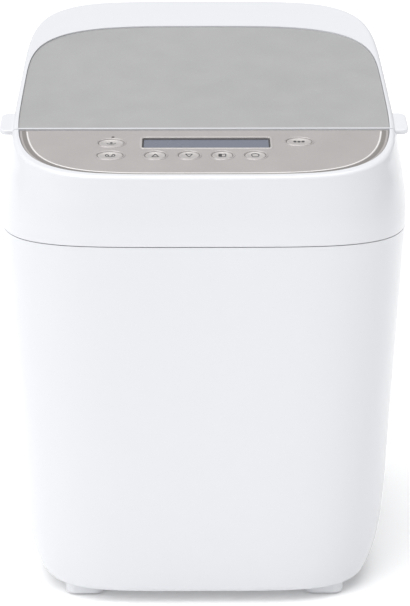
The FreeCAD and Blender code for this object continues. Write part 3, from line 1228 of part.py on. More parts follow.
def make_electrics():
    y1 = BOARD_STAND_Y
    x0 = POWER_BOARD_X - POWER_BOARD_HALF
    x1 = POWER_BOARD_X + POWER_BOARD_HALF
    z0 = CHASSIS_Z + CHASSIS_THICK + 4.0
    keep("power_board", box(x0, x1, y1 - 1.6, y1, z0, z0 + POWER_BOARD_HEIGHT))
    parts = [
        box(x0 + 6.0, x0 + 36.0, y1, y1 + 24.0, z0 + 8.0, z0 + 34.0),
        box(x0 + 44.0, x0 + 64.0, y1, y1 + 15.0, z0 + 10.0, z0 + 26.0),
        rod_along(7.0, (x0 + 54.0, y1, z0 + 42.0), (0, 1, 0), 22.0),
        box(x0 + 10.0, x0 + 30.0, y1, y1 + 9.0, z0 + 46.0, z0 + 62.0),
    ]
    keep("power_components", Part.makeCompound(parts))
    cap_z = CHASSIS_Z + CHASSIS_THICK
    keep("motor_capacitor", rounded_edges(rod(11.0, cap_z, cap_z + 42.0, 8.0, -100.0), 2.0,
                                          lambda edge: edge.BoundBox.ZMin > cap_z + 1.0
                                          and edge.BoundBox.ZLength < 0.01))
    y = gland_y()
    barrel = rod_along(GLAND_RADIUS - 2.0, (GLAND_X, y - 10.0, GLAND_Z), (0, 1, 0), 12.0)
    collar = rod_along(GLAND_RADIUS, (GLAND_X, y - GLAND_SEAT + 0.05, GLAND_Z), (0, 1, 0), 3.75)
    nut = rod_along(GLAND_RADIUS, (GLAND_X, y - 9.0, GLAND_Z), (0, 1, 0), 3.0)
    bore = rod_along(GLAND_BORE, (GLAND_X, y - 20.0, GLAND_Z), (0, 1, 0), 40.0)
    keep("cord_gland", barrel.fuse([collar, nut]).cut(bore))


def main():
    make_lower_body()
    make_upper_cover()
    make_lid_shell()
    make_hinge_pins()
    make_lid_inside()
    make_fascia()
    make_display()
    make_buttons()
    make_control_board()
    make_oven()
    make_heater()
    make_oven_sensors()
    make_pan()
    make_bail()
    make_pan_shaft()
    make_blade()
    make_seat()
    make_drive()
    make_chassis()
    make_base()
    make_feet()
    make_electrics()
    for name, shape in NODES.items():
        shape.exportStep(os.path.join("parts", name + ".step"))
        print(name, len(shape.Solids), shape.isValid(), round(shape.Volume, 1))


main()
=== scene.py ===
"""Looks of an upright bread machine, built round its packed mechanical frame."""

import json
import logging
import math
from dataclasses import dataclass, field
from enum import Enum
from typing import Callable, Iterable, Sequence

import bpy
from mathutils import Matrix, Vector
from mathutils.bvhtree import BVHTree


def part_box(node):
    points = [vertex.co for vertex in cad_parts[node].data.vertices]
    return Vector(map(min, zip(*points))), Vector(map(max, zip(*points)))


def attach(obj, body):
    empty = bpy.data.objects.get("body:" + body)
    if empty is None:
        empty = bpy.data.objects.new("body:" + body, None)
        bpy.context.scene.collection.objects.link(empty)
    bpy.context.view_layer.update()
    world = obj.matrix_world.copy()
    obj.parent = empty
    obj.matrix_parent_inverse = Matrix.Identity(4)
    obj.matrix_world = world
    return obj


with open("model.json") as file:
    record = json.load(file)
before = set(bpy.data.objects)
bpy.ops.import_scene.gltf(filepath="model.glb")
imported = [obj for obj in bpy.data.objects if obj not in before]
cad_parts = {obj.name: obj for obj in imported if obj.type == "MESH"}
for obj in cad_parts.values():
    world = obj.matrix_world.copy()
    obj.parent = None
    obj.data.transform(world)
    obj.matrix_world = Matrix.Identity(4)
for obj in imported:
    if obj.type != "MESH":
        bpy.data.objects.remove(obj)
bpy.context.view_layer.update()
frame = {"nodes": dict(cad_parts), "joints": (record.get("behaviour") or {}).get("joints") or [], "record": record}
LOG = logging.getLogger("bread_machine")
MM = 0.001
PLASTIC_IOR = 1.5
WEAR_REACH = 0.0005        # how far a rubbed edge spreads, in metres
PRINT_SINK = -0.03 * MM    # printed lines start this far inside their ground
PRINT_THICK = 0.06 * MM
SWEEP_SINK = -0.1 * MM     # raised strips start this far inside their ground
PROBE_HEIGHT = 0.08        # rays that look for a skin start this far over the top
Colour = tuple[float, float, float, float]
Path = list[tuple[float, float]]
Profile = Sequence[tuple[float, float]]


def rgba(red: float, green: float, blue: float) -> Colour:
    """Returns a linear colour with full alpha."""
    return (red, green, blue, 1.0)


def scaled(colour: Colour, factor: float) -> Colour:
    """Brightens or darkens a colour.

    Args:
        colour: The linear colour to change.
        factor: What its three channels are multiplied by.

    Returns:
        The new colour, held below pure white.
    """
    red, green, blue = (min(channel * factor, 0.98) for channel in colour[:3])
    return (red, green, blue, 1.0)


# ---------------------------------------------------------------- shared shader groups

class GroupMaker:
    """Makes one shader node group with named sockets, and wires its nodes."""

    def __init__(self, name: str) -> None:
        """Starts an empty group.

        Args:
            name: The group's name in the file.
        """
        self.tree = bpy.data.node_groups.new(name, "ShaderNodeTree")
        self.entry = self.tree.nodes.new("NodeGroupInput")
        self.exit = self.tree.nodes.new("NodeGroupOutput")

    def number_in(self, name: str, default: float) -> None:
        """Adds a number input called name, with its default."""
        socket = self.tree.interface.new_socket(name, in_out="INPUT", socket_type="NodeSocketFloat")
        socket.default_value = default

    def colour_in(self, name: str, default: Colour) -> None:
        """Adds a colour input called name, with its default."""
        socket = self.tree.interface.new_socket(name, in_out="INPUT", socket_type="NodeSocketColor")
        socket.default_value = default

    def number_out(self, name: str) -> None:
        """Adds a number output called name."""
        self.tree.interface.new_socket(name, in_out="OUTPUT", socket_type="NodeSocketFloat")

    def colour_out(self, name: str) -> None:
        """Adds a colour output called name."""
        self.tree.interface.new_socket(name, in_out="OUTPUT", socket_type="NodeSocketColor")

    def node(self, kind: str, **settings: object) -> bpy.types.Node:
        """Adds a node and sets its properties.

        Args:
            kind: The node's type name.
            **settings: Property names and their values.

        Returns:
            The new node.
        """
        made = self.tree.nodes.new(kind)
        for key, value in settings.items():
            setattr(made, key, value)
        return made

    def link(self, source: bpy.types.NodeSocket, target: bpy.types.NodeSocket) -> None:
        """Joins an output socket to an input socket."""
        self.tree.links.new(source, target)

    def maths(self, operation: str, first: object, second: object = None,
              clamp: bool = False) -> bpy.types.NodeSocket:
        """Adds a Math node.

        Args:
            operation: The node's operation.
            first: A socket or a number.
            second: A socket, a number, or None where the operation takes one value.
            clamp: Whether the result is held between 0 and 1.

        Returns:
            The result socket.
        """
        made = self.node("ShaderNodeMath", operation=operation, use_clamp=clamp)
        for index, value in enumerate((first, second)):
            if isinstance(value, bpy.types.NodeSocket):
                self.link(value, made.inputs[index])
            elif value is not None:
                made.inputs[index].default_value = value
        return made.outputs[0]

    def noise(self, vector: bpy.types.NodeSocket, scale: object, detail: float,
              roughness: float = 0.55) -> bpy.types.NodeSocket:
        """Adds a Noise texture.

        Args:
            vector: Where the texture is sampled.
            scale: A socket or a number.
            detail: How many octaves it has.
            roughness: How strong the finer octaves are.

        Returns:
            The value socket.
        """
        made = self.node("ShaderNodeTexNoise")
        self.link(vector, made.inputs["Vector"])
        if isinstance(scale, bpy.types.NodeSocket):
            self.link(scale, made.inputs["Scale"])
        else:
            made.inputs["Scale"].default_value = scale
        made.inputs["Detail"].default_value = detail
        made.inputs["Roughness"].default_value = roughness
        return made.outputs["Fac"]

    def spread(self, value: bpy.types.NodeSocket, low: object, high: object,
               start: float = 0.3, stop: float = 0.7) -> bpy.types.NodeSocket:
        """Maps a texture value onto a range.

        Args:
            value: The socket to map.
            low: A socket or number that start gives.
            high: A socket or number that stop gives.
            start: The value that gives low.
            stop: The value that gives high.

        Returns:
            The mapped socket.
        """
        made = self.node("ShaderNodeMapRange", clamp=True)
        self.link(value, made.inputs["Value"])
        made.inputs["From Min"].default_value = start
        made.inputs["From Max"].default_value = stop
        for name, wanted in (("To Min", low), ("To Max", high)):
            if isinstance(wanted, bpy.types.NodeSocket):
                self.link(wanted, made.inputs[name])
            else:
                made.inputs[name].default_value = wanted
        return made.outputs["Result"]

    def blend(self, mask: bpy.types.NodeSocket, first: object,
              second: object) -> bpy.types.NodeSocket:
        """Mixes two colours by a mask.

        Args:
            mask: Zero shows the first colour, one the second.
            first: A colour socket or a colour.
            second: A colour socket or a colour.

        Returns:
            The mixed colour socket.
        """
        made = self.node("ShaderNodeMix", data_type="RGBA")
        self.link(mask, made.inputs[0])
        for index, value in ((6, first), (7, second)):
            if isinstance(value, bpy.types.NodeSocket):
                self.link(value, made.inputs[index])
            else:
                made.inputs[index].default_value = value
        return made.outputs[2]

    def place(self, stretch: tuple[float, float, float] = (1.0, 1.0, 1.0)) -> bpy.types.NodeSocket:
        """Gives object coordinates, stretched along each axis.

        Args:
            stretch: How much each axis is multiplied by.

        Returns:
            The vector socket.
        """
        coordinates = self.node("ShaderNodeTexCoord")
        mapping = self.node("ShaderNodeMapping")
        mapping.inputs["Scale"].default_value = stretch
        self.link(coordinates.outputs["Object"], mapping.inputs["Vector"])
        return mapping.outputs["Vector"]


class SharedGroups:
    """The effects that several finishes use, each built once."""

    def __init__(self) -> None:
        """Builds every group."""
        self.grain = self.make_grain()
        self.brushed = self.make_brushed()
        self.speckle = self.make_speckle()
        self.edge_wear = self.make_edge_wear()
        self.film = self.make_film()

    def make_grain(self) -> bpy.types.NodeTree:
        """Builds moulded-surface grain: slow colour drift, cloudy gloss and a fine texture."""
        g = GroupMaker("moulded_grain")
        g.colour_in("Colour", rgba(0.8, 0.8, 0.8))
        g.colour_in("Drift Colour", rgba(0.7, 0.7, 0.7))
        g.number_in("Grain Scale", 900.0)
        g.number_in("Gloss Low", 0.25)
        g.number_in("Gloss High", 0.35)
        g.colour_out("Colour")
        g.number_out("Roughness")
        g.number_out("Height")
        place = g.place()
        drift = g.spread(g.noise(place, 9.0, 3.0), 0.0, 1.0)
        g.link(g.blend(drift, g.entry.outputs["Colour"], g.entry.outputs["Drift Colour"]),
               g.exit.inputs["Colour"])
        cloud = g.noise(place, 42.0, 2.0)
        g.link(g.spread(cloud, g.entry.outputs["Gloss Low"], g.entry.outputs["Gloss High"]),
               g.exit.inputs["Roughness"])
        fine = g.noise(place, g.entry.outputs["Grain Scale"], 2.0)
        swell = g.maths("MULTIPLY", g.noise(place, 130.0, 1.0), 0.6)
        g.link(g.maths("ADD", fine, swell), g.exit.inputs["Height"])
        return g.tree

    def make_brushed(self) -> bpy.types.NodeTree:
        """Builds long scratches along X, as rolled or brushed sheet has."""
        g = GroupMaker("brushed_lines")
        g.colour_in("Colour", rgba(0.6, 0.6, 0.6))
        g.colour_in("Line Colour", rgba(0.5, 0.5, 0.5))
        g.number_in("Gloss Low", 0.25)
        g.number_in("Gloss High", 0.4)
        g.number_in("Line Scale", 900.0)
        g.colour_out("Colour")
        g.number_out("Roughness")
        g.number_out("Height")
        place = g.place((0.03, 1.0, 1.0))
        lines = g.noise(place, g.entry.outputs["Line Scale"], 3.0, 0.7)
        cloud = g.noise(g.place(), 25.0, 4.0)
        mixed = g.maths("MULTIPLY", g.maths("ADD", lines, cloud), 0.5)
        mask = g.spread(mixed, 0.0, 1.0, 0.38, 0.62)
        g.link(g.blend(mask, g.entry.outputs["Colour"], g.entry.outputs["Line Colour"]),
               g.exit.inputs["Colour"])
        g.link(g.spread(mixed, g.entry.outputs["Gloss Low"], g.entry.outputs["Gloss High"], 0.38,
                        0.62), g.exit.inputs["Roughness"])
        g.link(lines, g.exit.inputs["Height"])
        return g.tree

    def make_speckle(self) -> bpy.types.NodeTree:
        """Builds scattered flecks, as a sprayed coating or cast surface has."""
        g = GroupMaker("fleck_scatter")
        g.number_in("Fleck Scale", 800.0)
        g.number_in("Amount", 0.2)
        g.number_out("Mask")
        g.number_out("Height")
        cells = g.node("ShaderNodeTexVoronoi", feature="F1")
        g.link(g.place(), cells.inputs["Vector"])
        g.link(g.entry.outputs["Fleck Scale"], cells.inputs["Scale"])
        spot = g.maths("LESS_THAN", cells.outputs["Distance"], 0.28)
        tone = g.node("ShaderNodeSeparateColor")
        g.link(cells.outputs["Color"], tone.inputs[0])
        chosen = g.maths("LESS_THAN", tone.outputs[0], g.entry.outputs["Amount"])
        g.link(g.maths("MULTIPLY", spot, chosen), g.exit.inputs["Mask"])
        g.link(cells.outputs["Distance"], g.exit.inputs["Height"])
        return g.tree

    def make_edge_wear(self) -> bpy.types.NodeTree:
        """Builds a mask of rubbed edges, broken up by noise."""
        g = GroupMaker("edge_wear")
        g.number_in("Reach", 0.0006)
        g.number_in("Strength", 1.0)
        g.number_out("Mask")
        bevel = g.node("ShaderNodeBevel", samples=3)
        g.link(g.entry.outputs["Reach"], bevel.inputs["Radius"])
        geometry = g.node("ShaderNodeNewGeometry")
        dot = g.node("ShaderNodeVectorMath", operation="DOT_PRODUCT")
        g.link(bevel.outputs["Normal"], dot.inputs[0])
        g.link(geometry.outputs["Normal"], dot.inputs[1])
        turn = g.spread(dot.outputs["Value"], 1.0, 0.0, 0.75, 0.99)
        broken = g.spread(g.noise(g.place(), 300.0, 4.0), 0.15, 1.0, 0.35, 0.65)
        rubbed = g.maths("MULTIPLY", turn, broken)
        g.link(g.maths("MULTIPLY", rubbed, g.entry.outputs["Strength"], True),
               g.exit.inputs["Mask"])
        return g.tree

    def make_film(self) -> bpy.types.NodeTree:
        """Builds a mask of settled dust: patchy, and only where the surface faces up."""
        g = GroupMaker("settled_film")
        g.number_in("Strength", 0.1)
        g.number_out("Mask")
        geometry = g.node("ShaderNodeNewGeometry")
        split = g.node("ShaderNodeSeparateXYZ")
        g.link(geometry.outputs["Normal"], split.inputs[0])
        upward = g.spread(split.outputs["Z"], 0.0, 1.0, 0.2, 0.95)
        patches = g.spread(g.noise(g.place(), 60.0, 5.0, 0.7), 0.2, 1.0, 0.4, 0.68)
        both = g.maths("MULTIPLY", upward, patches)
        g.link(g.maths("MULTIPLY", both, g.entry.outputs["Strength"], True),
               g.exit.inputs["Mask"])
        return g.tree


# ---------------------------------------------------------------- finishes

class MaterialMaker(GroupMaker):
    """Wires one material round its Principled shader."""

    def __init__(self, name: str) -> None:
        """Starts a material with an empty Principled shader.

        Args:
            name: The material's name.
        """
        self.material = bpy.data.materials.new(name)
        self.material.use_nodes = True
        self.tree = self.material.node_tree
        self.tree.nodes.clear()
        self.shader = self.tree.nodes.new("ShaderNodeBsdfPrincipled")
        output = self.tree.nodes.new("ShaderNodeOutputMaterial")
        self.link(self.shader.outputs[0], output.inputs["Surface"])

    def plain(self, **values: object) -> None:
        """Sets constant sockets of the shader; underscores stand for spaces in their names."""
        for key, value in values.items():
            self.shader.inputs[key.replace("_", " ")].default_value = value

    def group(self, tree: bpy.types.NodeTree, **values: object) -> bpy.types.Node:
        """Places a shared group with its own values.

        Args:
            tree: The group.
            **values: Its inputs by name, with underscores for spaces.

        Returns:
            The group's node.
        """
        made = self.node("ShaderNodeGroup", node_tree=tree)
        for key, value in values.items():
            made.inputs[key.replace("_", " ")].default_value = value
        return made

    def bump(self, height: bpy.types.NodeSocket, depth: float) -> None:
        """Feeds a height into the shader's normal.

        Args:
            height: The height socket.
            depth: How deep the relief is, in metres.
        """
        made = self.node("ShaderNodeBump")
        made.inputs["Distance"].default_value = depth
        made.inputs["Strength"].default_value = 1.0
        self.link(height, made.inputs["Height"])
        self.link(made.outputs[0], self.shader.inputs["Normal"])


class Finish:
    """A look that can be made into a material."""

    def make(self, name: str, shared: SharedGroups) -> bpy.types.Material:
        """Builds the material.

        Args:
            name: The material's name.
            shared: The shared groups.

        Returns:
            The material.
        """
        maker = MaterialMaker(name)
        self.wire(maker, shared)
        return maker.material


@dataclass(frozen=True)
class MouldedPlastic(Finish):
    """A moulded plastic: its colour, gloss range, grain, worn edges and settled dust."""

    colour: Colour
    gloss: tuple[float, float] = (0.25, 0.34)
    drift: float = 0.985
    grain: float = 900.0
    depth: float = 0.000012
    coat: float = 0.0
    dust: float = 0.05
    wear: float = 0.0
    subsurface: float = 0.0

    def wire(self, m: MaterialMaker, shared: SharedGroups) -> None:
        """Wires the finish.

        Args:
            m: The material to wire.
            shared: The shared groups.
        """
        drifted = scaled(self.colour, self.drift)
        grain = m.group(shared.grain, Colour=self.colour, Drift_Colour=drifted,
                        Grain_Scale=self.grain, Gloss_Low=self.gloss[0], Gloss_High=self.gloss[1])
        film = m.group(shared.film, Strength=self.dust)
        colour = m.blend(film.outputs[0], grain.outputs["Colour"], rgba(0.62, 0.60, 0.57))
        if self.wear:
            worn = m.group(shared.edge_wear, Reach=WEAR_REACH, Strength=self.wear)
            colour = m.blend(worn.outputs[0], colour, scaled(self.colour, 1.5))
        m.link(colour, m.shader.inputs["Base Color"])
        dulled = m.maths("MULTIPLY", film.outputs[0], 0.4)
        m.link(m.maths("ADD", grain.outputs["Roughness"], dulled), m.shader.inputs["Roughness"])
        m.bump(grain.outputs["Height"], self.depth)
        m.plain(Coat_Weight=self.coat, Coat_Roughness=0.12, Subsurface_Weight=self.subsurface,
                Subsurface_Radius=(0.004, 0.004, 0.004), IOR=PLASTIC_IOR)


@dataclass(frozen=True)
class PearlPanel(Finish):
    """A printed panel film: a satin ground with fine bright flakes under a clear coat."""

    colour: Colour
    flake: Colour
    gloss: tuple[float, float] = (0.34, 0.44)
    metallic: float = 0.35

    def wire(self, m: MaterialMaker, shared: SharedGroups) -> None:
        """Wires the finish.

        Args:
            m: The material to wire.
            shared: The shared groups.
        """
        grain = m.group(shared.grain, Colour=self.colour, Drift_Colour=scaled(self.colour, 0.97),
                        Grain_Scale=1600.0, Gloss_Low=self.gloss[0], Gloss_High=self.gloss[1])
        flecks = m.group(shared.speckle, Fleck_Scale=2600.0, Amount=0.35)
        film = m.group(shared.film, Strength=0.05)
        soft = m.maths("MULTIPLY", flecks.outputs["Mask"], 0.35)
        colour = m.blend(soft, grain.outputs["Colour"], self.flake)
        colour = m.blend(film.outputs[0], colour, rgba(0.66, 0.64, 0.62))
        m.link(colour, m.shader.inputs["Base Color"])
        m.link(grain.outputs["Roughness"], m.shader.inputs["Roughness"])
        m.bump(grain.outputs["Height"], 0.000008)
        m.plain(Metallic=self.metallic, Coat_Weight=0.25, Coat_Roughness=0.22, IOR=PLASTIC_IOR)


@dataclass(frozen=True)
class SheetMetal(Finish):
    """Rolled, drawn or brushed metal: colour, line strength, edge wear and heat stains."""

    colour: Colour
    gloss: tuple[float, float] = (0.24, 0.38)
    lines: float = 900.0
    wear: float = 0.4
    stain: float = 0.0
    depth: float = 0.00001

    def wire(self, m: MaterialMaker, shared: SharedGroups) -> None:
        """Wires the finish.

        Args:
            m: The material to wire.
            shared: The shared groups.
        """
        lines = m.group(shared.brushed, Colour=self.colour, Line_Colour=scaled(self.colour, 0.84),
                        Gloss_Low=self.gloss[0], Gloss_High=self.gloss[1], Line_Scale=self.lines)
        worn = m.group(shared.edge_wear, Reach=WEAR_REACH, Strength=self.wear)
        colour = m.blend(worn.outputs[0], lines.outputs["Colour"], scaled(self.colour, 1.3))
        if self.stain:
            warm = m.spread(m.noise(m.place(), 14.0, 5.0, 0.65), 0.0, self.stain, 0.45, 0.72)
            colour = m.blend(warm, colour, rgba(0.46, 0.35, 0.22))
        m.link(colour, m.shader.inputs["Base Color"])
        m.link(lines.outputs["Roughness"], m.shader.inputs["Roughness"])
        m.bump(lines.outputs["Height"], self.depth)
        m.plain(Metallic=1.0)


@dataclass(frozen=True)
class FleckedCoat(Finish):
    """A sprayed or cast surface: a ground colour, scattered flecks and rubbed edges."""

    colour: Colour
    fleck: Colour
    gloss: tuple[float, float] = (0.32, 0.48)
    scale: float = 900.0
    amount: float = 0.18
    metallic: float = 0.0
    wear: float = 0.3
    wear_colour: Colour = (0.5, 0.5, 0.5, 1.0)
    depth: float = 0.00003

    def wire(self, m: MaterialMaker, shared: SharedGroups) -> None:
        """Wires the finish.

        Args:
            m: The material to wire.
            shared: The shared groups.
        """
        grain = m.group(shared.grain, Colour=self.colour, Drift_Colour=scaled(self.colour, 0.86),
                        Grain_Scale=self.scale, Gloss_Low=self.gloss[0], Gloss_High=self.gloss[1])
        flecks = m.group(shared.speckle, Fleck_Scale=self.scale, Amount=self.amount)
        worn = m.group(shared.edge_wear, Reach=0.0007, Strength=self.wear)
        colour = m.blend(flecks.outputs["Mask"], grain.outputs["Colour"], self.fleck)
        colour = m.blend(worn.outputs[0], colour, self.wear_colour)
        m.link(colour, m.shader.inputs["Base Color"])
        m.link(grain.outputs["Roughness"], m.shader.inputs["Roughness"])
        relief = m.maths("ADD", grain.outputs["Height"], flecks.outputs["Height"])
        m.bump(relief, self.depth)
        m.plain(Metallic=self.metallic, IOR=PLASTIC_IOR)


@dataclass(frozen=True)
class DisplayGlass(Finish):
    """An unlit liquid crystal display: a grey film with a soft vertical tone and fine cells."""

    top: Colour
    bottom: Colour
    low_z: float
    high_z: float

    def wire(self, m: MaterialMaker, shared: SharedGroups) -> None:
        """Wires the finish.

        Args:
            m: The material to wire.
            shared: The shared groups.
        """
        coordinates = m.node("ShaderNodeTexCoord")
        split = m.node("ShaderNodeSeparateXYZ")
        m.link(coordinates.outputs["Object"], split.inputs[0])
        rise = m.spread(split.outputs["Z"], 0.0, 1.0, self.low_z, self.high_z)
        tone = m.blend(rise, self.bottom, self.top)
        grain = m.group(shared.grain, Colour=self.top, Drift_Colour=self.bottom,
                        Grain_Scale=2000.0, Gloss_Low=0.2, Gloss_High=0.3)
        soft = m.spread(grain.outputs["Height"], 0.0, 0.12, 0.3, 1.1)
        m.link(m.blend(soft, tone, self.bottom), m.shader.inputs["Base Color"])
        m.link(grain.outputs["Roughness"], m.shader.inputs["Roughness"])
        m.bump(grain.outputs["Height"], 0.000004)
        m.plain(IOR=PLASTIC_IOR)


@dataclass(frozen=True)
class BoardLacquer(Finish):
    """A circuit board: green lacquer with paler copper tracks running under it."""

    ground: Colour
    track: Colour

    def wire(self, m: MaterialMaker, shared: SharedGroups) -> None:
        """Wires the finish.

        Args:
            m: The material to wire.
            shared: The shared groups.
        """
        bricks = m.node("ShaderNodeTexBrick")
        m.link(m.place(), bricks.inputs["Vector"])
        bricks.inputs["Scale"].default_value = 60.0
        bricks.inputs["Mortar Size"].default_value = 0.025
        bricks.inputs["Color1"].default_value = self.ground
        bricks.inputs["Color2"].default_value = scaled(self.ground, 0.85)
        bricks.inputs["Mortar"].default_value = self.track
        grain = m.group(shared.grain, Colour=self.ground, Drift_Colour=self.track,
                        Grain_Scale=1200.0, Gloss_Low=0.25, Gloss_High=0.4)
        soft = m.maths("MULTIPLY", grain.outputs["Height"], 0.1)
        m.link(m.blend(soft, bricks.outputs["Color"], grain.outputs["Colour"]),
               m.shader.inputs["Base Color"])
        m.link(grain.outputs["Roughness"], m.shader.inputs["Roughness"])
        m.bump(bricks.outputs["Fac"], 0.00004)
        m.plain(IOR=PLASTIC_IOR)


@dataclass(frozen=True)
class PrintInk(Finish):
    """Screen-printed ink: a flat matt colour that thins in places."""

    colour: Colour

    def wire(self, m: MaterialMaker, shared: SharedGroups) -> None:
        """Wires the finish.

        Args:
            m: The material to wire.
            shared: The shared groups.
        """
        grain = m.group(shared.grain, Colour=self.colour, Drift_Colour=scaled(self.colour, 1.6),
                        Grain_Scale=3000.0, Gloss_Low=0.45, Gloss_High=0.6)
        m.link(grain.outputs["Colour"], m.shader.inputs["Base Color"])
        m.link(grain.outputs["Roughness"], m.shader.inputs["Roughness"])
        m.bump(grain.outputs["Height"], 0.000004)


# ---------------------------------------------------------------- wardrobe

class Wardrobe:
    """Keeps one material for each finish, and dresses the frame's nodes by their slots."""

    def __init__(self) -> None:
        """Builds the shared groups and every finish."""
        self.shared = SharedGroups()
        low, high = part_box("display_module")
        self.materials = {name: finish.make(name, self.shared)
                          for name, finish in self.finishes(low[2], high[2]).items()}

    def finishes(self, low_z: float, high_z: float) -> dict[str, Finish]:
        """Lists the finish of each slot.

        Args:
            low_z: The display's lowest height, in metres.
            high_z: The display's greatest height, in metres.

        Returns:
            Finish by slot name.
        """
        warm_panel = rgba(0.435, 0.412, 0.404)
        return {
            "white_plastic": MouldedPlastic(rgba(0.70, 0.708, 0.733), (0.295, 0.305), 0.997, 700.0,
                                            0.000006, 0.3, 0.02, 0.0, 0.0),
            "silver_panel": PearlPanel(rgba(0.425, 0.425, 0.425), rgba(0.68, 0.68, 0.69)),
            "champagne_panel": PearlPanel(warm_panel, rgba(0.75, 0.73, 0.72)),
            "button_plastic": PearlPanel(rgba(0.47, 0.45, 0.44), rgba(0.72, 0.70, 0.69),
                                         (0.3, 0.4), 0.25),
            "clear_lens": DisplayGlass(rgba(0.150, 0.164, 0.205), rgba(0.135, 0.152, 0.200),
                                       low_z, high_z),
            "display_glass": DisplayGlass(rgba(0.36, 0.395, 0.50), rgba(0.41, 0.44, 0.53), low_z,
                                          high_z),
            "liner_plastic": MouldedPlastic(rgba(0.68, 0.68, 0.68), (0.4, 0.52), 0.96, 1100.0,
                                            0.00003, 0.0, 0.1, 0.3),
            "bright_metal": SheetMetal(rgba(0.74, 0.74, 0.75), (0.22, 0.36), 1100.0, 0.3, 0.12),
            "steel": SheetMetal(rgba(0.60, 0.60, 0.61), (0.2, 0.34), 1500.0, 0.5, 0.0),
            "heater_sheath": FleckedCoat(rgba(0.10, 0.085, 0.08), rgba(0.20, 0.13, 0.09),
                                         (0.45, 0.65), 1400.0, 0.4, 0.6, 0.4,
                                         rgba(0.30, 0.24, 0.20)),
            "white_ceramic": FleckedCoat(rgba(0.78, 0.76, 0.70), rgba(0.60, 0.56, 0.48),
                                         (0.3, 0.45), 1500.0, 0.12, 0.0, 0.3,
                                         rgba(0.62, 0.58, 0.50)),
            "nonstick": FleckedCoat(rgba(0.045, 0.046, 0.050), rgba(0.16, 0.16, 0.17),
                                    (0.30, 0.42), 1300.0, 0.16, 0.15, 0.25,
                                    rgba(0.30, 0.30, 0.31)),
            "cast_alloy": FleckedCoat(rgba(0.52, 0.52, 0.53), rgba(0.40, 0.40, 0.41),
                                      (0.35, 0.5), 700.0, 0.3, 1.0, 0.5, rgba(0.72, 0.72, 0.73),
                                      0.00005),
            "bronze": FleckedCoat(rgba(0.46, 0.29, 0.13), rgba(0.30, 0.19, 0.09), (0.3, 0.45),
                                  1600.0, 0.35, 1.0, 0.4, rgba(0.62, 0.44, 0.24)),
            "black_rubber": MouldedPlastic(rgba(0.028, 0.028, 0.029), (0.55, 0.72), 0.8, 1400.0,
                                           0.00005, 0.0, 0.25, 0.2),
            "silicone": MouldedPlastic(rgba(0.60, 0.59, 0.57), (0.45, 0.58), 0.95, 800.0, 0.00002,
                                       0.0, 0.1, 0.0, 0.15),
            "circuit_board": BoardLacquer(rgba(0.025, 0.16, 0.07), rgba(0.07, 0.28, 0.12)),
            "dark_plastic": MouldedPlastic(rgba(0.035, 0.035, 0.04), (0.36, 0.5), 0.85, 900.0,
                                           0.00003, 0.0, 0.12, 0.35),
            "motor_steel": SheetMetal(rgba(0.42, 0.43, 0.45), (0.3, 0.45), 700.0, 0.5, 0.05),
            "print_ink": PrintInk(rgba(0.04, 0.038, 0.04)),
            # painted highlight: a lit copy of the panel film, for the crease bead along the front edge
            "panel_highlight": PearlPanel(rgba(0.80, 0.78, 0.77), rgba(0.9, 0.89, 0.88),
                                          (0.25, 0.35), 0.1),
            # painted shade: a darkened copy of the panel film, for the flat band along the front edge
            "panel_shade": PearlPanel(rgba(0.24, 0.225, 0.215), rgba(0.4, 0.39, 0.38)),
            "lamp_lens": MouldedPlastic(rgba(0.045, 0.035, 0.035), (0.12, 0.2), 0.9, 500.0,
                                        0.000004, 0.6, 0.0),
        }

    def dress(self, piece: bpy.types.Object, slot: str) -> None:
        """Gives a piece one material.

        Args:
            piece: The object to dress.
            slot: The finish's name.
        """
        piece.data.materials.clear()
        piece.data.materials.append(self.materials[slot])

    def dress_frame(self) -> None:
        """Gives every node of the frame the finish of its slot."""
        for part in frame["record"]["subparts"]:
            node, slot = part["node"], part["material_slot"]
            self.dress(frame["nodes"][node], slot)
            LOG.info("dressed %s in %s", node, slot)


# ---------------------------------------------------------------- geometry on the sloping top

class SlopingTop:
    """Places on the machine's sloping top: across (u), up the slope (v) and out of it (w)."""

    def __init__(self) -> None:
        """Reads the slope from the way that the buttons press."""
        press = next(j for j in frame["joints"] if j["name"] == "up_button_press")
        self.out = -Vector(press["axis"]).normalized()
        self.across = Vector((1.0, 0.0, 0.0))
        self.up = self.out.cross(self.across).normalized()
        hinge = next(j for j in frame["joints"] if j["name"] == "lid_hinge")
        self.origin = Vector(hinge["pos_m"])

    def world(self, u: float, v: float, w: float) -> Vector:
        """Turns a place on the top, in metres, into the frame's coordinates."""
        return self.origin + self.across * u + self.up * v + self.out * w

    def local(self, point: Vector) -> tuple[float, float, float]:
        """Turns a point of the frame into a place on the top."""
        offset = Vector(point) - self.origin
        return offset.dot(self.across), offset.dot(self.up), offset.dot(self.out)

    def extent(self, node: str) -> tuple[tuple[float, float], ...]:
        """Measures a node along the three directions.

        Args:
            node: The node's name.

        Returns:
            Lowest and highest u, v and w.
        """
        places = [self.local(vertex.co) for vertex in frame["nodes"][node].data.vertices]
        return tuple((min(axis), max(axis)) for axis in zip(*places))

    def skin(self, node: str) -> Callable[[float, float], float]:
        """Gives the height of a node's outer skin over any place on the top.

        Args:
            node: The node's name.

        Returns:
            A function from u and v to w.
        """
        mesh = frame["nodes"][node].data
        tree = BVHTree.FromPolygons([vertex.co for vertex in mesh.vertices],
                                    [tuple(face.vertices) for face in mesh.polygons])

        def height(u: float, v: float) -> float:
            """Returns the skin's w at u and v, or zero where it has none."""
            start = self.world(u, v, PROBE_HEIGHT)
            hit = tree.ray_cast(start, -self.out)[0]
            return self.local(hit)[2] if hit is not None else 0.0
        return height


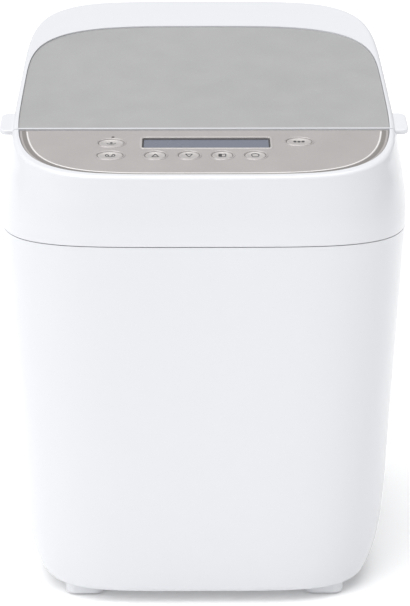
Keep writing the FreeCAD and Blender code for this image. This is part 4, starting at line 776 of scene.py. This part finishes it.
@dataclass
class Strip:
    """A thin strip along a path on the top, with its own cross-section."""

    path: Path
    profile: Profile
    closed: bool = False

    def mesh_data(self, top: SlopingTop, skin: Callable[[float, float], float],
                  start: int) -> tuple[list[Vector], list[tuple[int, ...]]]:
        """Sweeps the cross-section along the path.

        Args:
            top: The sloping top.
            skin: Gives the height that the strip lies on.
            start: The number of the first vertex.

        Returns:
            Vertices and faces.
        """
        count = len(self.path)
        vertices: list[Vector] = []
        for index in range(count):
            ahead = self.path[(index + 1) % count if self.closed else min(index + 1, count - 1)]
            behind = self.path[(index - 1) % count if self.closed else max(index - 1, 0)]
            here = self.path[index]
            du, dv = ahead[0] - behind[0], ahead[1] - behind[1]
            length = math.hypot(du, dv) or 1.0
            nu, nv = -dv / length, du / length
            for side, rise in self.profile:
                u, v = here[0] + nu * side, here[1] + nv * side
                vertices.append(top.world(u, v, skin(u, v) + rise))
        ring = len(self.profile)
        faces: list[tuple[int, ...]] = []
        steps = count if self.closed else count - 1
        for index in range(steps):
            this, following = index * ring, ((index + 1) % count) * ring
            for step in range(ring):
                other = (step + 1) % ring
                faces.append(tuple(start + number for number in
                                   (this + step, this + other, following + other,
                                    following + step)))
        if not self.closed:
            faces.append(tuple(start + number for number in reversed(range(ring))))
            faces.append(tuple(start + (count - 1) * ring + number for number in range(ring)))
        return vertices, faces


def flat_profile(width: float, thick: float = PRINT_THICK) -> Profile:
    """Returns the cross-section of a printed line of a width, sunk a little into its ground."""
    half = width / 2.0
    return ((-half, PRINT_SINK), (-half, thick), (half, thick), (half, PRINT_SINK))


def domed_profile(width: float, rise: float) -> Profile:
    """Returns a half-round cross-section of a width and a rise."""
    points = [(-width / 2.0, SWEEP_SINK)]
    for index in range(7):
        angle = math.pi - math.pi * index / 6.0
        points.append((width / 2.0 * math.cos(angle), rise * math.sin(angle)))
    points.append((width / 2.0, SWEEP_SINK))
    return points


def dense(corners: Path, closed: bool, step: float = 0.4 * MM) -> Path:
    """Adds points along straight runs so that a strip can follow a dished surface.

    Args:
        corners: The path's corners.
        closed: Whether the last corner joins the first.
        step: The longest run that is left.

    Returns:
        The denser path.
    """
    points: Path = []
    count = len(corners)
    for index in range(count if closed else count - 1):
        a, b = corners[index], corners[(index + 1) % count]
        runs = max(1, math.ceil(math.hypot(b[0] - a[0], b[1] - a[1]) / step))
        points += [(a[0] + (b[0] - a[0]) * k / runs, a[1] + (b[1] - a[1]) * k / runs)
                   for k in range(runs)]
    return points if closed else points + [corners[-1]]


def arc(cu: float, cv: float, ru: float, rv: float, start: float, stop: float,
        count: int = 24) -> Path:
    """Returns points along an arc of an ellipse.

    Args:
        cu: The centre's u.
        cv: The centre's v.
        ru: The radius along u.
        rv: The radius along v.
        start: The first angle, in degrees.
        stop: The last angle, in degrees.
        count: How many steps it takes.

    Returns:
        The points.
    """
    angles = [math.radians(start + (stop - start) * k / count) for k in range(count + 1)]
    return [(cu + ru * math.cos(angle), cv + rv * math.sin(angle)) for angle in angles]


def rounded_path(cu: float, cv: float, half_u: float, half_v: float, radius: float) -> Path:
    """Returns a closed rectangle with round corners.

    Args:
        cu: The centre's u.
        cv: The centre's v.
        half_u: Half its width.
        half_v: Half its depth.
        radius: The corner radius.

    Returns:
        The points, anticlockwise.
    """
    points: Path = []
    for su, sv, start in ((1, 1, 0.0), (-1, 1, 90.0), (-1, -1, 180.0), (1, -1, 270.0)):
        points += arc(cu + su * (half_u - radius), cv + sv * (half_v - radius), radius, radius,
                      start, start + 90.0, 6)
    return points


def build_piece(name: str, strips: Iterable[Strip], top: SlopingTop,
                skin: Callable[[float, float], float], body: str, slot: str,
                wardrobe: Wardrobe) -> bpy.types.Object:
    """Joins strips into one dressed piece that rides on a body.

    Args:
        name: The piece's name.
        strips: The strips it is made of.
        top: The sloping top.
        skin: Gives the height that the strips lie on.
        body: The body it rides on.
        slot: The finish's name.
        wardrobe: The materials.

    Returns:
        The new object.
    """
    vertices: list[Vector] = []
    faces: list[tuple[int, ...]] = []
    for strip in strips:
        more, sides = strip.mesh_data(top, skin, len(vertices))
        vertices += more
        faces += sides
    mesh = bpy.data.meshes.new(name)
    mesh.from_pydata(vertices, [], faces)
    mesh.validate()
    mesh.update()
    piece = bpy.data.objects.new(name, mesh)
    bpy.context.scene.collection.objects.link(piece)
    wardrobe.dress(piece, slot)
    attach(piece, body)
    LOG.info("built %s on %s", name, body)
    return piece


class Symbol(Enum):
    """The plain symbols printed on the buttons."""

    SUN = "sun"
    MENU = "menu"
    UP = "up"
    DOWN = "down"
    SHADE = "shade"
    LOAF = "loaf"
    DOTS = "dots"


@dataclass
class ButtonPrint:
    """The symbol on one button."""

    button: str
    symbol: Symbol
    line: float = 0.62 * MM
    size: float = 2.1 * MM
    lift: float = 1.0 * MM

    def disc(self, u: float, v: float, radius: float) -> Strip:
        """Returns a filled dot at a place, as a ring that closes on its own middle."""
        profile = ((-radius / 2.0, PRINT_SINK), (-radius / 2.0, PRINT_THICK),
                   (radius * 0.48, PRINT_THICK), (radius * 0.48, PRINT_SINK))
        return Strip(arc(u, v, radius / 2.0, radius / 2.0, 0.0, 360.0, 16)[:-1], profile, True)

    def outline(self, corners: Path) -> Strip:
        """Returns a closed printed line through corners."""
        return Strip(dense(corners, True), flat_profile(self.line), True)

    def strips(self, u: float, v: float) -> list[Strip]:
        """Draws the symbol round a centre.

        Args:
            u: The centre's u.
            v: The centre's v.

        Returns:
            Its strips.
        """
        s = self.size
        line = flat_profile(self.line)
        drawings: dict[Symbol, Callable[[], list[Strip]]] = {
            Symbol.SUN: lambda: [
                Strip(arc(u, v + 0.5 * s, 1.6 * s, 1.2 * s, 215.0, 325.0), line),
                self.disc(u, v + 0.15 * s, 0.42 * s)],
            Symbol.MENU: lambda: [
                Strip(arc(u - 0.95 * s, v, 0.42 * s, 0.6 * s, 0.0, 360.0)[:-1], line, True),
                Strip(arc(u + 0.95 * s, v, 0.42 * s, 0.6 * s, 0.0, 360.0)[:-1], line, True),
                Strip(arc(u, v - 0.1 * s, 0.5 * s, 0.7 * s, 190.0, 350.0), line)],
            Symbol.UP: lambda: [self.outline([(u - s, v - 0.8 * s), (u + s, v - 0.8 * s),
                                              (u, v + 0.95 * s)])],
            Symbol.DOWN: lambda: [self.outline([(u - s, v + 0.8 * s), (u, v - 0.95 * s),
                                                (u + s, v + 0.8 * s)])],
            Symbol.SHADE: lambda: [
                self.outline([(u - s, v - 0.75 * s), (u + s, v - 0.75 * s),
                              (u + s, v + 0.75 * s), (u - s, v + 0.75 * s)]),
                Strip(dense([(u - 0.55 * s, v + 0.7 * s), (u - 0.55 * s, v - 0.7 * s)], False),
                      flat_profile(0.9 * s))],
            Symbol.LOAF: lambda: [
                self.outline([(u - 0.8 * s, v - 0.8 * s), (u + 0.8 * s, v - 0.8 * s)]
                             + arc(u, v + 0.15 * s, 1.1 * s, 0.85 * s, -30.0, 210.0))],
            Symbol.DOTS: lambda: [self.disc(u + shift * s, v, 0.52 * s)
                                  for shift in (-1.2, 0.0, 1.2)],
        }
        return drawings[self.symbol]()

    def build(self, top: SlopingTop, wardrobe: Wardrobe) -> None:
        """Prints the symbol on its button.

        Args:
            top: The sloping top.
            wardrobe: The materials.
        """
        (u0, u1), _, _ = top.extent(self.button)
        u = (u0 + u1) / 2.0
        v = self.cap_centre(top) + self.lift
        build_piece(f"{self.button}_symbol", self.strips(u, v), top, top.skin(self.button),
                    f"{self.button}_cap", "print_ink", wardrobe)

    def cap_centre(self, top: SlopingTop) -> float:
        """Returns the v of the middle of the button's cap, measured near its top."""
        places = [top.local(vertex.co) for vertex in frame["nodes"][self.button].data.vertices]
        highest = max(place[2] for place in places)
        cap = [place[1] for place in places if place[2] > highest - 1.0 * MM]
        return (min(cap) + max(cap)) / 2.0


@dataclass
class ControlDeck:
    """Everything on the control panel that the frame leaves plain."""

    rim_width: float = 1.7 * MM
    rim_rise: float = 0.35 * MM
    lamp_radius: float = 1.0 * MM
    lamp_offset: float = 9.0 * MM
    bevel_width: float = 3.6 * MM
    bead_width: float = 1.0 * MM
    plan_round: float = 4.6
    front_reach: float = 144.15 * MM
    mask_width: float = 0.8 * MM
    lens_overlap: float = 2.0 * MM
    edge_steps: int = 120
    edge_start: float = 0.08
    edge_share: float = 0.84
    prints: list[ButtonPrint] = field(default_factory=lambda: [
        ButtonPrint("timer_button", Symbol.SUN),
        ButtonPrint("menu_button", Symbol.MENU),
        ButtonPrint("up_button", Symbol.UP),
        ButtonPrint("down_button", Symbol.DOWN),
        ButtonPrint("crust_button", Symbol.SHADE),
        ButtonPrint("size_button", Symbol.LOAF),
        ButtonPrint("start_button", Symbol.DOTS),
    ])

    def build(self, top: SlopingTop, wardrobe: Wardrobe) -> None:
        """Builds the window's rim, the lamp and the printed symbols.

        Args:
            top: The sloping top.
            wardrobe: The materials.
        """
        self.build_window_rim(top, wardrobe)
        self.build_window_mask(top, wardrobe)
        self.build_front_edge(top, wardrobe)
        self.build_lamp(top, wardrobe)
        for symbol in self.prints:
            symbol.build(top, wardrobe)

    def build_window_rim(self, top: SlopingTop, wardrobe: Wardrobe) -> None:
        """Builds the raised lip round the display window."""
        (u0, u1), (v0, v1), _ = top.extent("display_window")
        edge = self.rim_width / 2.0 - self.lens_overlap
        path = rounded_path((u0 + u1) / 2.0, (v0 + v1) / 2.0, (u1 - u0) / 2.0 + edge,
                            (v1 - v0) / 2.0 + edge, 2.2 * MM)
        level = top.skin("control_panel")((u0 + u1) / 2.0, v0 - 2.0 * MM)
        rim = Strip(path, domed_profile(self.rim_width, self.rim_rise), True)
        build_piece("display_rim", [rim], top, lambda u, v: level, "housing", "button_plastic",
                    wardrobe)

    def build_window_mask(self, top: SlopingTop, wardrobe: Wardrobe) -> None:
        """Builds the dark printed border just inside the display window."""
        (u0, u1), (v0, v1), (_, face) = top.extent("display_window")
        inset = self.lens_overlap + 0.15 * MM + self.mask_width / 2.0
        path = rounded_path((u0 + u1) / 2.0, (v0 + v1) / 2.0, (u1 - u0) / 2.0 - inset,
                            (v1 - v0) / 2.0 - inset, 1.2 * MM)
        build_piece("display_mask", [Strip(path, flat_profile(self.mask_width, 0.04 * MM), True)],
                    top, lambda u, v: face, "housing", "print_ink", wardrobe)

    def front_path(self, top: SlopingTop, inset: float) -> Path:
        """Follows the panel's curved front edge.

        Args:
            top: The sloping top.
            inset: How far inside the edge the path runs.

        Returns:
            Points from the left side round the front to the right side.
        """
        (u0, u1), (v0, _), _ = top.extent("control_panel")
        middle = v0 + self.front_reach
        half_u = (u1 - u0) / 2.0 - inset
        half_v = self.front_reach - inset
        points: Path = []
        for index in range(self.edge_steps + 1):
            share_done = self.edge_start + self.edge_share * index / self.edge_steps
            angle = math.pi + math.pi * share_done
            cos, sin = math.cos(angle), math.sin(angle)
            share = 2.0 / self.plan_round
            points.append(((u0 + u1) / 2.0 + half_u * math.copysign(abs(cos) ** share, cos),
                           middle + half_v * math.copysign(abs(sin) ** share, sin)))
        return points

    def build_front_edge(self, top: SlopingTop, wardrobe: Wardrobe) -> None:
        """Builds the crease bead in painted highlight and a flat band of painted shade, standing in for a rolled
        edge, along the panel's front edge.
        """
        skin = top.skin("control_panel")
        # painted highlight: the crease bead is dressed in a lit copy of the panel film, brighter than the panel
        # round it
        crease = Strip(self.front_path(top, self.bevel_width), domed_profile(self.bead_width,
                                                                             0.22 * MM))
        build_piece("painted_crease_highlight", [crease], top, skin, "housing", "panel_highlight", wardrobe)
        # painted shade: a flat band in a darkened copy of the panel film stands in for the shaded face of a rolled
        # edge
        half = (self.bevel_width - self.bead_width) / 2.0
        band_profile = ((-half, -0.05 * MM), (-half, 0.08 * MM), (half, 0.08 * MM),
                        (half, -0.05 * MM))
        band = Strip(self.front_path(top, half + 0.35 * MM), band_profile)
        build_piece("painted_edge_shade", [band], top, skin, "housing", "panel_shade", wardrobe)

    def build_lamp(self, top: SlopingTop, wardrobe: Wardrobe) -> None:
        """Builds the small lamp behind the timer button."""
        (u0, u1), _, _ = top.extent("timer_button")
        u = (u0 + u1) / 2.0 + 0.8 * MM
        v = ButtonPrint("timer_button", Symbol.SUN).cap_centre(top) + self.lamp_offset
        half = self.lamp_radius / 2.0
        profile = [(-half, -0.1 * MM), (-half, 0.05 * MM), (-half * 0.5, 0.22 * MM),
                   (0.0, 0.34 * MM), (half * 0.94, 0.42 * MM), (half * 0.94, -0.1 * MM)]
        strip = Strip(arc(u, v, half, half, 0.0, 360.0, 20)[:-1], profile, True)
        level = top.skin("control_panel")(u, v)
        build_piece("timer_lamp", [strip], top, lambda a, b: level, "housing", "lamp_lens",
                    wardrobe)


# ---------------------------------------------------------------- studio

@dataclass
class Studio:
    """The pale floor, the soft lights and the camera."""

    camera_place: tuple[float, float, float] = (-0.0089, -1.3090, 0.5397)
    camera_aim: tuple[float, float, float] = (0.006543, 0.961239, -0.275637)
    lens: float = 172.9
    shift: float = 0.0042
    floor_half: float = 9.0
    room_left: float = 0.66
    room_right: float = 0.34

    def build(self) -> None:
        """Builds the whole studio."""
        self.build_floor()
        self.build_lights()
        self.build_camera()

    def build_floor(self) -> None:
        """Builds a wide pale floor under the machine."""
        mesh = bpy.data.meshes.new("studio_floor")
        half = self.floor_half
        mesh.from_pydata([(-half, -half, 0.0), (half, -half, 0.0), (half, half, 0.0),
                          (-half, half, 0.0)], [], [(0, 1, 2, 3)])
        floor = bpy.data.objects.new("studio_floor", mesh)
        bpy.context.scene.collection.objects.link(floor)
        maker = MaterialMaker("floor_paper")
        fine = maker.noise(maker.place(), 700.0, 3.0)
        maker.link(maker.blend(fine, rgba(0.93, 0.93, 0.93), rgba(0.95, 0.95, 0.95)),
                   maker.shader.inputs["Base Color"])
        maker.plain(Roughness=0.9, Emission_Color=rgba(1.0, 1.0, 1.0), Emission_Strength=0.12)
        mesh.materials.append(maker.material)

    def build_lights(self) -> None:
        """Builds a room that dims to the right, a key from the front left and a top light."""
        scene = bpy.context.scene
        world = bpy.data.worlds.new("studio_room")
        scene.world = world
        world.use_nodes = True
        tree = world.node_tree
        background = tree.nodes["Background"]
        background.inputs["Color"].default_value = (0.985, 0.99, 1.0, 1.0)
        direction = tree.nodes.new("ShaderNodeTexCoord")
        split = tree.nodes.new("ShaderNodeSeparateXYZ")
        fade = tree.nodes.new("ShaderNodeMapRange")
        fade.inputs["From Min"].default_value = -1.0
        fade.inputs["From Max"].default_value = 1.0
        fade.inputs["To Min"].default_value = self.room_left
        fade.inputs["To Max"].default_value = self.room_right
        tree.links.new(direction.outputs["Generated"], split.inputs[0])
        tree.links.new(split.outputs["X"], fade.inputs["Value"])
        tree.links.new(fade.outputs["Result"], background.inputs["Strength"])
        self.add_sun("key_light", (-0.52, -0.58, 0.70), 0.95, 40.0)
        self.add_sun("top_light", (0.0, -0.06, 1.0), 2.0, 60.0)
        scene.view_settings.view_transform = "Standard"

    def add_sun(self, name: str, toward: tuple[float, float, float], strength: float,
                spread: float) -> None:
        """Adds one soft distant light.

        Args:
            name: The light's name.
            toward: The direction from the machine to the light.
            strength: Its strength.
            spread: How wide it looks, in degrees.
        """
        data = bpy.data.lights.new(name, "SUN")
        data.energy = strength
        data.angle = math.radians(spread)
        light = bpy.data.objects.new(name, data)
        light.rotation_euler = Vector(toward).to_track_quat("Z", "Y").to_euler()
        bpy.context.scene.collection.objects.link(light)

    def build_camera(self) -> None:
        """Builds the camera and makes it the scene's own."""
        data = bpy.data.cameras.new("camera")
        data.sensor_fit = "HORIZONTAL"
        data.sensor_width = 36.0
        data.lens = self.lens
        data.shift_x = self.shift
        data.clip_start = 0.05
        data.clip_end = 40.0
        camera = bpy.data.objects.new("camera", data)
        camera.location = self.camera_place
        camera.rotation_euler = Vector(self.camera_aim).to_track_quat("-Z", "Y").to_euler()
        bpy.context.scene.collection.objects.link(camera)
        bpy.context.scene.camera = camera


def main() -> None:
    """Builds the machine's looks in order."""
    logging.basicConfig(level=logging.INFO, format="%(name)s: %(message)s")
    studio = Studio()
    studio.build()
    wardrobe = Wardrobe()
    wardrobe.dress_frame()
    top = SlopingTop()
    ControlDeck().build(top, wardrobe)


if __name__ == "__main__":
    main()
